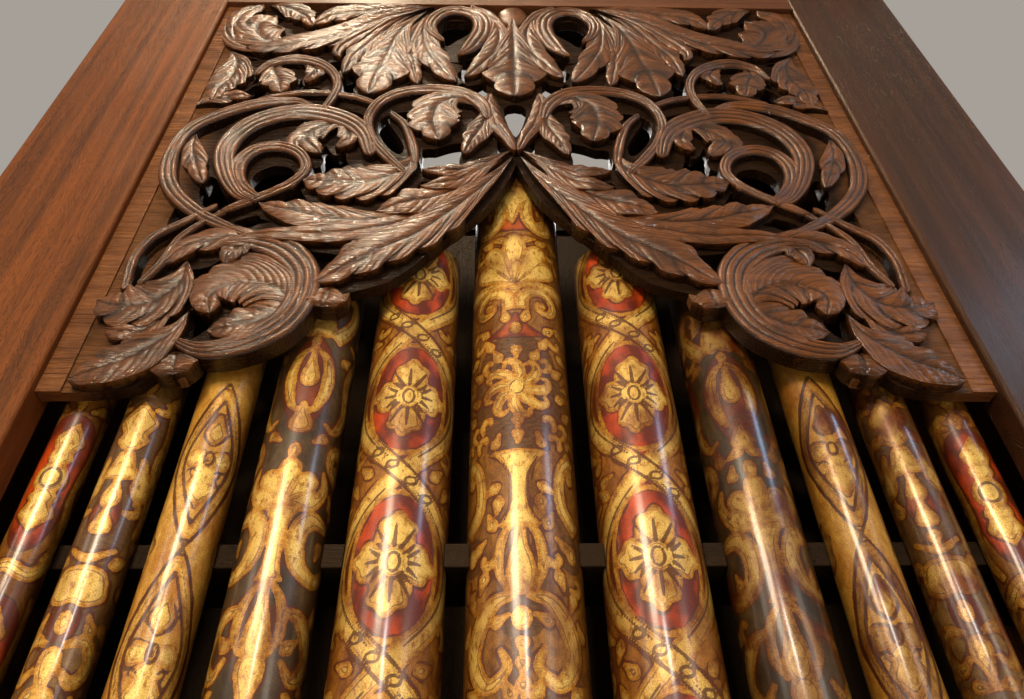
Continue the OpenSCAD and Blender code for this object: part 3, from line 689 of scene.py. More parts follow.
def bend_skin(bm, pipe):
    """Rolls a flat sheet into the pipe: columns run round it and rows run up it."""
    angles = ring_angles(pipe.radius)
    heights = ring_heights(pipe)
    bmesh.ops.create_grid(bm, x_segments=len(angles) - 1, y_segments=len(heights) - 1, size=1)
    for vert in bm.verts:
        angle = math.radians(angles[round((vert.co.x + 1) / 2 * (len(angles) - 1))])
        z = heights[round((vert.co.y + 1) / 2 * (len(heights) - 1))]
        radius = pipe.radius_at(z) + dented(pipe, angle, z)
        vert.co = (radius * math.sin(angle), -radius * math.cos(angle), z)
    bmesh.ops.remove_doubles(bm, verts=bm.verts, dist=WELD)
    for face in bm.faces:
        face.smooth = True


def cut_by_plane(bm, keep, point, normal):
    """Adds the edges where a plane meets the faces that keep() picks."""
    faces = [f for f in bm.faces if keep(f.calc_center_median())]
    parts = set(faces)
    for face in faces:
        parts.update(face.edges)
        parts.update(face.verts)
    bmesh.ops.bisect_plane(bm, geom=list(parts), dist=WELD, plane_co=point, plane_no=normal)


def flatten_lips(bm, pipe):
    """Beats the upper and lower lip flat above and below the mouth."""
    base = -pipe.radius + pipe.flat
    spans = ((pipe.lower_end, -pipe.radius_at(pipe.lower_end), pipe.mouth, base),
             (pipe.mouth, base, pipe.lip, base), (pipe.lip, base, pipe.upper_end, -pipe.radius))
    for low, y_low, high, y_high in spans:
        normal = Vector((0, low - high, y_high - y_low))
        cut_by_plane(bm, lambda c: c.y < 0 and low < c.z < high, (0, y_low, low), normal)
    for vert in bm.verts:
        vert.co.y = max(vert.co.y, pipe.front_limit(vert.co.z))


def open_mouth(bm, pipe):
    """Cuts the mouth and sets a chamber behind it, dark as painted shade, with the languid as its floor."""
    half = MOUTH_WIDTH * pipe.chord

    def level_with_mouth(centre):
        """Whether a face lies in front, between the lips."""
        return centre.y < 0 and pipe.mouth < centre.z < pipe.lip

    for side in (-1, 1):
        cut_by_plane(bm, level_with_mouth, (side * half, 0, 0), (1, 0, 0))
    centres = {f: f.calc_center_median() for f in bm.faces}
    hole = [f for f, centre in centres.items() if abs(centre.x) < half and level_with_mouth(centre)]
    bmesh.ops.delete(bm, geom=hole, context="FACES")
    low, high = pipe.toe + TOE_SEAT, pipe.top - 1 * MM
    rim = [e for e in bm.edges if e.is_boundary and low < e.verts[0].co.z < high]
    made = bmesh.ops.extrude_edge_only(bm, edges=rim)["geom"]
    inner = [v for v in made if isinstance(v, bmesh.types.BMVert)]
    bmesh.ops.translate(bm, verts=inner, vec=(0, CHAMBER_DEPTH * pipe.radius, 0))
    filled = bmesh.ops.edgeloop_fill(bm, edges=[e for e in made if isinstance(e, bmesh.types.BMEdge)
                                               and e.is_boundary])
    for face in filled["faces"] + [f for v in inner for f in v.link_faces]:
        face.material_index = SHADED_INSIDE
        face.smooth = False


def close_ends(bm, pipe):
    """Turns the top rim in, lines the pipe down to behind its mouth and closes the toe."""
    ends = [e for e in bm.edges if e.is_boundary]
    toe = [e for e in ends if e.verts[0].co.z < pipe.mouth]
    rim = [e for e in ends if e.verts[0].co.z > pipe.mouth]
    bmesh.ops.edgeloop_fill(bm, edges=toe)
    scale = (pipe.radius - PIPE_WALL) / pipe.radius
    # The rim turned in takes the rim metal, and the lining down the pipe the far darker inside metal, which
    # is painted shade.
    for size, drop, metal in ((scale, 0, RIM), (1, pipe.top - pipe.lip - LINING_ABOVE_LIP, SHADED_INSIDE)):
        made = bmesh.ops.extrude_edge_only(bm, edges=rim)["geom"]
        verts = [v for v in made if isinstance(v, bmesh.types.BMVert)]
        rim = [e for e in made if isinstance(e, bmesh.types.BMEdge) and e.is_boundary]
        bmesh.ops.scale(bm, vec=(size, size, 1), verts=verts)
        bmesh.ops.translate(bm, verts=verts, vec=(0, 0, -drop))
        for face in (f for v in verts for f in v.link_faces):
            face.material_index = metal
    for face in bmesh.ops.edgeloop_fill(bm, edges=rim)["faces"]:
        face.material_index = SHADED_INSIDE


def add_ears(bm, pipe):
    """Plates beside the mouth of a larger pipe, with rounded front corners."""
    y_front = -pipe.radius + pipe.flat - EAR_OUT
    y_back = -pipe.radius + pipe.flat + PIPE_WALL
    cut = pipe.lip - pipe.mouth
    for side in (-1, 1):
        ear = bmesh.new()
        bmesh.ops.create_cube(ear, size=1)
        bmesh.ops.scale(ear, vec=(EAR_THICK, y_back - y_front, 2 * cut), verts=ear.verts)
        place = (side * (pipe.chord + EAR_THICK / 2), (y_front + y_back) / 2, pipe.mouth + cut / 2)
        bmesh.ops.translate(ear, verts=ear.verts, vec=place)
        front = [e for e in ear.edges if all(v.co.y < y_front + 1 * MM for v in e.verts)
                 and abs(e.verts[0].co.z - e.verts[1].co.z) < 1 * MM]
        bmesh.ops.bevel(ear, geom=front, offset=EAR_ROUNDING, offset_type="OFFSET", segments=3, profile=0.5,
                        affect="EDGES", material=-1)
        add_into(bm, ear)


def skin_places(mesh, pipe):
    """Each vertex's angle round the pipe, and its place on the unrolled skin in millimetres."""
    co = np.empty(len(mesh.vertices) * 3)
    mesh.vertices.foreach_get("co", co)
    co = co.reshape(-1, 3)
    angle = np.arctan2(co[:, 0] - pipe.x, -(co[:, 1] - pipe.y))
    return angle, np.stack([angle * pipe.radius, co[:, 2] - SPRING], axis=1) / MM


def unroll(mesh, angle, pipe):
    """Gives the skin its own map in metres, u round the pipe and v up it."""
    corner = np.empty(len(mesh.loops), int)
    mesh.loops.foreach_get("vertex_index", corner)
    sizes = np.empty(len(mesh.polygons), int)
    mesh.polygons.foreach_get("loop_total", sizes)
    face_of = np.repeat(np.arange(len(sizes)), sizes)
    turn = angle[corner]
    across = np.bincount(face_of, np.sin(turn)), np.bincount(face_of, np.cos(turn))
    middle = np.arctan2(*across)[face_of]
    turn = middle + (turn - middle + np.pi) % (2 * np.pi) - np.pi
    heights = np.array([v.co.z for v in mesh.vertices])[corner]
    layer = mesh.uv_layers.new(name="skin")
    layer.data.foreach_set("uv", np.stack([turn * pipe.radius, heights - SPRING], axis=1).ravel())


def make_pipe(number, art, materials, slot):
    """One painted front pipe with its own ornament."""
    pipe = FrontPipe(number)
    bm = bmesh.new()
    bend_skin(bm, pipe)
    flatten_lips(bm, pipe)
    open_mouth(bm, pipe)
    close_ends(bm, pipe)
    if pipe.radius > LEAST_EARED:
        add_ears(bm, pipe)
    bmesh.ops.translate(bm, verts=bm.verts, vec=(pipe.x, pipe.y, 0))
    bmesh.ops.recalc_face_normals(bm, faces=bm.faces)
    for edge in bm.edges:
        if len(edge.link_faces) == 2 and edge.calc_face_angle() > math.radians(SHARP_ANGLE):
            edge.smooth = False
    piece = finished_piece(f"painted_pipe_{number:02d}", bm, materials, slot, pipe.node)
    angle, places = skin_places(piece.data, pipe)
    unroll(piece.data, angle, pipe)
    for layer in PAINT_LAYERS:
        field = piece.data.attributes.new("paint_" + layer, "FLOAT", "POINT")
        field.data.foreach_set("value", art.distances(layer, places))
    return piece


# How high the middle pipe's ornament hangs and how long it is, and how much of a pipe's
# top is left without small leaves, in millimetres
CENTRE_TOP, CENTRE_RUN = 372, 770
BARE_TOP = 60

# Ornament of each pair of pipes: what is drawn, the height it hangs from on the left and
# on the right pipe, its length, how often it repeats and how far it is turned on each
RUNS = {
    1: (second_ornament, 262, 268, 245, 7, 6, -6),
    2: (third_ornament, 218, 190, 640, 3, 6, -12),
    3: (fourth_ornament, -84, -70, 248, 6, 14, -10),
    4: (fifth_ornament, 14, 22, 415, 4, 4, -17),
    5: (outer_ornament, -16, -40, 250, 6, 7, -10),
}


def pipe_art(number):
    """The whole painting of a pipe."""
    rank = abs(number - 6)
    highest = (FrontPipe(number).top - SPRING) / MM - BARE_TOP
    if rank == 0:
        art = Painting(-7)
        crown_ornament(art)
        for k in range(3):
            art.hang(CENTRE_TOP - CENTRE_RUN * k)
            centre_ornament(art)
        fill_ground(art, number, highest)
        return art
    ornament, left_v, right_v, length, count, left_turn, right_turn = RUNS[rank]
    art = Painting(left_turn if number < 6 else right_turn)
    for k in range(count):
        art.hang((left_v if number < 6 else right_v) - length * k)
        ornament(art)
    if rank != 3:
        fill_ground(art, number, highest)
    return art
# Colours, as the eye sees them under plain light
def seen(red, green, blue):
    """A colour from its red, green and blue of 0 to 255 on a screen."""
    linear = [(c / 255 / 12.92 if c <= 10 else ((c / 255 + 0.055) / 1.055) ** 2.4)
              for c in (red, green, blue)]
    return (*linear, 1.0)


GOLD_DEEP, GOLD, GOLD_LIGHT = seen(170, 106, 26), seen(222, 160, 50), seen(250, 210, 108)
PAINTED_BROWN, OUTLINE_BROWN = seen(76, 34, 12), seen(92, 42, 14)
# Brown glaze doubles as painted shade on the darker pipes, and the side shade is painted shade towards a
# pipe's sides.
BROWN_GLAZE_AND_SHADE, RED_SHADE, STIPPLE, SIDE_SHADE = (seen(136, 84, 40), seen(104, 38, 18),
                                               seen(150, 96, 52), seen(110, 92, 58))
QUARTER_TURN = math.radians(90)
CHATTER = (22, 200, 520)


# Effects that several finishes use
def wood_figure():
    """Oak: growth bands, fibres, pores and rays along the Z axis of its coordinates."""
    tree, taken, given = new_group(
        "wood_figure", {"Vector": None, "Light": seen(150, 92, 52), "Dark": seen(70, 36, 20),
                        "Depth": 1.0}, ("Color", "Roughness", "Height"))
    place, light, dark = taken["Vector"], taken["Light"], taken["Dark"]
    warp = streaks(tree, place, (3, 3, 0.9), 3)
    shift = add_node(tree, "CombineXYZ", {"X": times(tree, warp, 0.02), "Y": warp}).outputs[0]
    bent = add_node(tree, "VectorMath", {0: place, 1: shift}, operation="ADD").outputs[0]
    bands = streaks(tree, bent, (60, 3, 1.1), 3, 0.6)
    fibre = streaks(tree, bent, (480, 480, 5), 3, 0.7)
    pores = remap(tree, streaks(tree, bent, (700, 700, 26), 1), 0.62, 0.72)
    rays = remap(tree, streaks(tree, bent, (150, 60, 22), 1), 0.66, 0.74)
    stain = streaks(tree, place, (5, 5, 2), 3)
    tone = plus(tree, times(tree, bands, 0.6), times(tree, fibre, 0.5))
    colour = blend_colours(tree, remap(tree, tone, 0.38, 0.72), dark, light)
    colour = blend_colours(tree, times(tree, rays, 0.25), colour, light)
    colour = blend_colours(tree, times(tree, pores, 0.55), colour, dark)
    colour = blend_colours(tree, remap(tree, stain, 0.35, 0.7, 0.0, 0.35), colour, dark, "MULTIPLY")
    height = less(tree, times(tree, fibre, 0.6), pores)
    return fill_group(tree, given, {"Color": colour, "Roughness": remap(tree, fibre, 0.3, 0.7, 0.34, 0.5),
                                    "Height": times(tree, height, taken["Depth"])})


def wear_specks():
    """Small dark flecks and chips that age leaves on paint and varnish."""
    tree, taken, given = new_group("wear_specks", {"Vector": None, "Amount": 0.5}, ("Mask",))
    fine = noise(tree, taken["Vector"], 320.0, 3, 0.6)
    broad = noise(tree, taken["Vector"], 26.0, 2)
    low = remap(tree, times(tree, broad, taken["Amount"]), 0.0, 0.6, 0.74, 0.6)
    return fill_group(tree, given, {"Mask": remap(tree, less(tree, fine, low), 0.0, 0.03)})


def carver_marks():
    """What tools and time leave on carved wood: chatter, level scraped ribs, a mask of glinting
    cuts for painted highlights, and grime."""
    tree, taken, given = new_group("carver_marks", {"Vector": None, "Ribs": 0.0},
                                   ("Height", "Roughness", "Glints", "Grime"))
    place = taken["Vector"]
    chatter = streaks(tree, place, CHATTER, 2, 0.6)
    glints = remap(tree, streaks(tree, place, (34, 300, 900), 1), 0.6, 0.68)
    ribs = times(tree, streaks(tree, place, (9, 60, 170), 2), taken["Ribs"])
    rough = less(tree, remap(tree, chatter, 0.3, 0.7, 0.26, 0.42), times(tree, glints, 0.12))
    height = plus(tree, less(tree, chatter, times(tree, glints, 0.5)), ribs)
    grime = remap(tree, noise(tree, place, 22.0, 3), 0.45, 0.7, 0.0, 0.55)
    return fill_group(tree, given, {"Height": height, "Roughness": rough, "Glints": glints, "Grime": grime})


def metal_streaks():
    """Dull streaks up a plain pipe."""
    tree, taken, given = new_group(
        "metal_streaks", {"Vector": None, "Light": seen(150, 140, 120), "Dark": seen(96, 86, 70),
                          "Least Roughness": 0.4}, ("Color", "Roughness"))
    streak = streaks(tree, taken["Vector"], (60, 60, 8), 3)
    rough = plus(tree, remap(tree, streak, 0.3, 0.7, 0.0, 0.2), taken["Least Roughness"])
    colour = blend_colours(tree, remap(tree, streak, 0.35, 0.65), taken["Dark"], taken["Light"])
    return fill_group(tree, given, {"Color": colour, "Roughness": rough})


def paint_edge():
    """Where a painted shape covers, from the distance inside it in millimetres."""
    tree, taken, given = new_group(
        "paint_edge", {"Distance": 0.0, "Vector": None, "Wobble": 1.2, "Inset": 0.0}, ("Mask", "Distance"))
    wide = less(tree, noise(tree, taken["Vector"], 60.0, 2), 0.5)
    small = less(tree, noise(tree, taken["Vector"], 300.0, 2), 0.5)
    shake = times(tree, plus(tree, wide, times(tree, small, 0.6)), times(tree, taken["Wobble"], 2.0))
    depth = less(tree, plus(tree, taken["Distance"], shake), taken["Inset"])
    return fill_group(tree, given, {"Mask": remap(tree, depth, -0.35, 0.35, smooth=True),
                                    "Distance": depth})


def gilding(tree, skin, depth, brush, cross, clouds, taken):
    """Gold leaf with brushed shades, a bright heart, brown glaze that also stands for painted shade where it
    lies heavy, and a broken line inside its rim.
    """
    gilt = blend_colours(tree, remap(tree, plus(tree, cross, brush), 0.85, 1.15), GOLD_DEEP, GOLD)
    heart = times(tree, remap(tree, depth, 1.5, 8.0), remap(tree, brush, 0.3, 0.5))
    gilt = blend_colours(tree, heart, gilt, GOLD_LIGHT)
    # Brown glaze over the gold; where it lies heavy on the right-hand pipes it stands for painted shade.
    glaze_and_shade = remap(tree, noise(tree, skin, 13.0, 2), 0.45, 0.62, taken["Least Glaze And Shade"], taken["Most Glaze And Shade"])
    gilt = blend_colours(tree, glaze_and_shade, gilt, BROWN_GLAZE_AND_SHADE, "MULTIPLY")
    inner = remap(tree, compute(tree, "ABSOLUTE", less(tree, depth, 5.6)), 1.1, 0.3)
    inner = times(tree, inner, remap(tree, clouds, 0.4, 0.56, 0.0, 0.75))
    return blend_colours(tree, inner, gilt, OUTLINE_BROWN)


def old_paint():
    """The painting of a pipe: ground, dark and red fields, gilding with its brown outline,
    dark strokes, then stipple, specks, cracks and painted shade towards the pipe's sides and over the darker
    pipes."""
    tree, taken, given = new_group(
        "old_paint", {"Skin": None, "Dark Depth": 0.0, "Red Depth": 0.0, "Gold Depth": 0.0, "Line Depth": 0.0,
                      "Ground": GOLD, "Wash": GOLD_DEEP, "Dark": PAINTED_BROWN, "Red": RED_SHADE,
                      "Least Glaze And Shade": 0.0, "Most Glaze And Shade": 0.7, "Shade From": 0.04, "Shade To": 0.1,
                      "Least Shade": 0.0}, ("Color", "Roughness", "Metallic", "Height"))
    skin, dark, wash = taken["Skin"], taken["Dark"], taken["Wash"]
    brush = streaks(tree, skin, (150, 80, 1), 3, 0.6)
    cross = streaks(tree, skin, (90, 240, 1), 3, 0.7)
    clouds = streaks(tree, skin, (22, 15, 1), 3)
    speck = use_group(tree, WEAR_SPECKS, {"Vector": skin, "Amount": 0.6})["Mask"]
    cell = add_node(tree, "TexVoronoi", {"Vector": skin, "Scale": 150.0}, feature="DISTANCE_TO_EDGE")
    cracks = times(tree, remap(tree, cell.outputs["Distance"], 0.05, 0.015),
                   remap(tree, noise(tree, skin, 34.0, 2), 0.48, 0.66))

    def layer(name, wobble, inset=0.0):
        """One painted layer's cover and how deep a place lies in it."""
        edge = use_group(tree, PAINT_EDGE, {"Distance": taken[name + " Depth"], "Vector": skin,
                                            "Wobble": wobble, "Inset": inset})
        return edge["Mask"], edge["Distance"]

    colour = blend_colours(tree, remap(tree, brush, 0.35, 0.7), taken["Ground"], wash)
    colour = blend_colours(tree, remap(tree, clouds, 0.42, 0.62, 0.0, 0.6), colour, wash, "MULTIPLY")
    mottled_dark = blend_colours(tree, remap(tree, cross, 0.35, 0.7), dark, wash)
    colour = blend_colours(tree, times(tree, layer("Dark", 1.4)[0], 0.9), colour, mottled_dark)

    red_field, red_depth = layer("Red", 1.0)
    rim = remap(tree, compute(tree, "ABSOLUTE", red_depth), 3.2, 1.4)
    colour = blend_colours(tree, times(tree, rim, 0.9), colour, PAINTED_BROWN)
    shaded = plus(tree, remap(tree, clouds, 0.34, 0.56, 0.0, 0.9),
                  remap(tree, red_depth, 12.0, 1.0, 0.0, 0.45), clamp=True)
    mottled_red = blend_colours(tree, shaded, taken["Red"], RED_SHADE)
    colour = blend_colours(tree, red_field, colour, mottled_red)

    gold_field, depth = layer("Gold", 1.5, -1.6)
    width = remap(tree, streaks(tree, skin, (30, 20, 1), 2), 0.38, 0.62, -1.2, 2.2)
    outline = less(tree, compute(tree, "ABSOLUTE", plus(tree, depth, 1.2)), width)
    colour = blend_colours(tree, remap(tree, outline, 1.6, 0.4, 0.0, 0.9), colour, OUTLINE_BROWN)
    gilt = gilding(tree, skin, depth, brush, cross, clouds, taken)
    colour = blend_colours(tree, gold_field, colour, gilt)

    stipple = remap(tree, streaks(tree, skin, (800, 620, 1), 2, 0.7), 0.42, 0.6, 0.0, 0.55)
    colour = blend_colours(tree, stipple, colour, STIPPLE, "MULTIPLY")
    colour = blend_colours(tree, times(tree, layer("Line", 0.7)[0], 0.85), colour, PAINTED_BROWN)
    colour = blend_colours(tree, times(tree, speck, 0.75), colour, dark)
    colour = blend_colours(tree, times(tree, cracks, 0.4), colour, dark)
    # Painted shade: the skin darkens towards the pipe's sides, and all over where the least shade is above
    # zero.
    far = compute(tree, "ABSOLUTE", add_node(tree, "SeparateXYZ", {0: skin}).outputs[0])
    side = remap(tree, far, taken["Shade From"], taken["Shade To"], taken["Least Shade"], 0.75)
    relief = plus(tree, times(tree, brush, 0.35), times(tree, gold_field, 0.5))
    return fill_group(tree, given, {"Color": blend_colours(tree, side, colour, SIDE_SHADE, "MULTIPLY"),
                                    "Roughness": remap(tree, cross, 0.2, 0.8, 0.26, 0.42),
                                    "Metallic": times(tree, gold_field, 0.15),
                                    "Height": less(tree, relief, times(tree, speck, 0.6))})


WOOD_FIGURE = wood_figure()
WEAR_SPECKS = wear_specks()
CARVER_MARKS = carver_marks()
METAL_STREAKS = metal_streaks()
PAINT_EDGE = paint_edge()
OLD_PAINT = old_paint()


# Finishes
def oak(name, light, dark, grain, roughness=0.08, coat=0.06):
    """Varnished oak whose grain runs along an axis: 0 for X, 1 for Y, 2 for Z."""
    material, tree, shader = new_material(
        name, {"Specular IOR Level": 0.3, "Specular Tint": seen(255, 206, 160),
               "Coat Weight": coat, "Coat Roughness": 0.25})
    turn = ((0, QUARTER_TURN, 0), (QUARTER_TURN, 0, 0), (0, 0, 0))[grain]
    place = stretched(tree, add_node(tree, "TexCoord").outputs["Object"], (1, 1, 1), turn)
    figure = use_group(tree, WOOD_FIGURE, {"Vector": place, "Light": light, "Dark": dark, "Depth": 1.0})
    specks = use_group(tree, WEAR_SPECKS, {"Vector": place, "Amount": 0.4})["Mask"]
    fill_sockets(tree, shader, {
        "Base Color": blend_colours(tree, times(tree, specks, 0.6), figure["Color"], dark),
        "Roughness": plus(tree, figure["Roughness"], roughness),
        "Normal": bumped(tree, figure["Height"], 0.7, 0.0016)})
    return material


def carved_oak(name, light, dark, glaze, shaded_hollows=True, rim=None, gloss=1.0, ribs=0.0):
    """Carved oak under thick brown varnish, with painted shade that darkens the hollows and walls
    when asked for, glinting tool marks with painted highlights, and the rim's colour where it
    nears the posts. Glaze is the colour of the painted shade and of the grime. Gloss is the
    varnish's strength, and ribs that of the level cuts a scraper leaves."""
    material, tree, shader = new_material(
        name, {"Specular IOR Level": 0.18 * gloss, "Specular Tint": seen(255, 200, 150),
               "Coat Weight": 0.6 * gloss, "Coat Roughness": 0.06})
    place = add_node(tree, "TexCoord").outputs["Object"]
    lying = stretched(tree, place, (1, 1, 1), (0, QUARTER_TURN, 0))
    figure = use_group(tree, WOOD_FIGURE, {"Vector": lying, "Light": light, "Dark": dark, "Depth": 0.7})
    marks = use_group(tree, CARVER_MARKS, {"Vector": place, "Ribs": ribs})
    colour = figure["Color"]
    # Painted shade: where the hollow attribute is low, in the hollows and on the walls of the strips, the
    # wood darkens to the glaze colour.
    if shaded_hollows:
        hollow = add_node(tree, "Attribute", attribute_name="hollow").outputs["Fac"]
        hollow_shade = remap(tree, hollow, 0.1, 0.9, 0.95, 0.0, smooth=True)
        colour = blend_colours(tree, hollow_shade, colour, glaze)
    # Near the posts the ground lies open, so there its painted shade gives way to the rim's colour.
    if rim:
        across = compute(tree, "ABSOLUTE", add_node(tree, "SeparateXYZ", {0: place}).outputs[0])
        outer = remap(tree, across, HALF_OPENING - 100 * MM, HALF_OPENING - 60 * MM)
        colour = blend_colours(tree, outer, colour, blend_colours(tree, figure["Height"], rim, light))
    colour = blend_colours(tree, marks["Grime"], colour, glaze)
    # Painted highlights: the glinting cuts are lightened towards the light wood colour.
    colour = blend_colours(tree, times(tree, marks["Glints"], 0.3), colour, light)
    height = plus(tree, marks["Height"], times(tree, figure["Height"], 0.25))
    ripple = streaks(tree, place, CHATTER, 2, 0.6)
    fill_sockets(tree, shader, {"Base Color": colour, "Roughness": marks["Roughness"],
                                "Normal": bumped(tree, height, 1.0, 0.002),
                                "Coat Normal": bumped(tree, ripple, 0.75, 0.002)})
    return material


def painted_depth(tree, layer):
    """How deep each place lies in a painted layer, as its attribute says, in millimetres."""
    return add_node(tree, "Attribute", attribute_name="paint_" + layer).outputs["Fac"]


def painted_metal(name, glaze_and_shade, reach, ground, wash, dark, red):
    """Painted and gilded pipe metal under old varnish. Ground and wash are the broad colours,
    reach is how far the skin runs from the pipe's front line to its side, in metres, where the painted side
    shade ends, and the glaze amount is how much of the gold lies under brown glaze, which stands partly for
    painted shade; above 0.9 it also darkens the whole pipe as painted shade."""
    material, tree, shader = new_material(
        name, {"Specular IOR Level": 0.3, "Coat Weight": 0.4, "Coat Roughness": 0.17})
    depths = {layer.title() + " Depth": painted_depth(tree, layer) for layer in PAINT_LAYERS}
    # The side shade and, for the most glazed pipes, the least shade over the whole pipe are painted shade.
    paint = use_group(tree, OLD_PAINT, {
        "Skin": add_node(tree, "UVMap", uv_map="skin").outputs[0], **depths,
        "Ground": ground, "Wash": wash, "Dark": dark, "Red": red,
        "Least Glaze And Shade": glaze_and_shade - 0.6, "Most Glaze And Shade": glaze_and_shade,
        "Shade From": 0.4 * reach, "Shade To": 0.95 * reach, "Least Shade": 3 * max(0.0, glaze_and_shade - 0.9)})
    fill_sockets(tree, shader, {"Base Color": paint["Color"], "Roughness": paint["Roughness"],
                                "Metallic": paint["Metallic"],
                                "Normal": bumped(tree, paint["Height"], 0.4, 0.0007)})
    return material


def bare_metal(name, light, dark, roughness):
    """Plain pipe metal, dull and streaked."""
    material, tree, shader = new_material(name, {"Metallic": 0.6})
    metal = use_group(tree, METAL_STREAKS, {"Vector": add_node(tree, "TexCoord").outputs["Object"],
                                            "Light": light, "Dark": dark, "Least Roughness": roughness})
    fill_sockets(tree, shader, {"Base Color": metal["Color"], "Roughness": metal["Roughness"]})
    return material




# Sizes of the carving. Fullness is how far a leaf or stem swells past its drawn width. The
# hollow attribute is how open a point lies to the light, and the carving is painted darker
# where it is low; wall shade is its value at a strip's back, so that the walls get painted shade.
GRID_WIDTH, GRID_HEIGHT = 655, 1110
LEAF_FULLNESS, STEM_FULLNESS = 1.22, 1.08
BACK_OF_CARVING = 18 * MM
FOOT_OF_RELIEF = 1.5 * MM
LIFT_STEP = 0.9 * MM
RELIEF = 12 * MM
GROUND_EASE = 0.8 * MM
WALL_SHADE = -1.2
EGG_HALVES = (34 * MM, 14 * MM, 46 * MM)
EGG_HEIGHT = 1082 * MM
MIDDLE_LEAF = ([(0, 1052), (0, 990), (0, 910), (0, 826), (0, 722)], (40, 56, 72, 112, 40), 4, 0, 6)

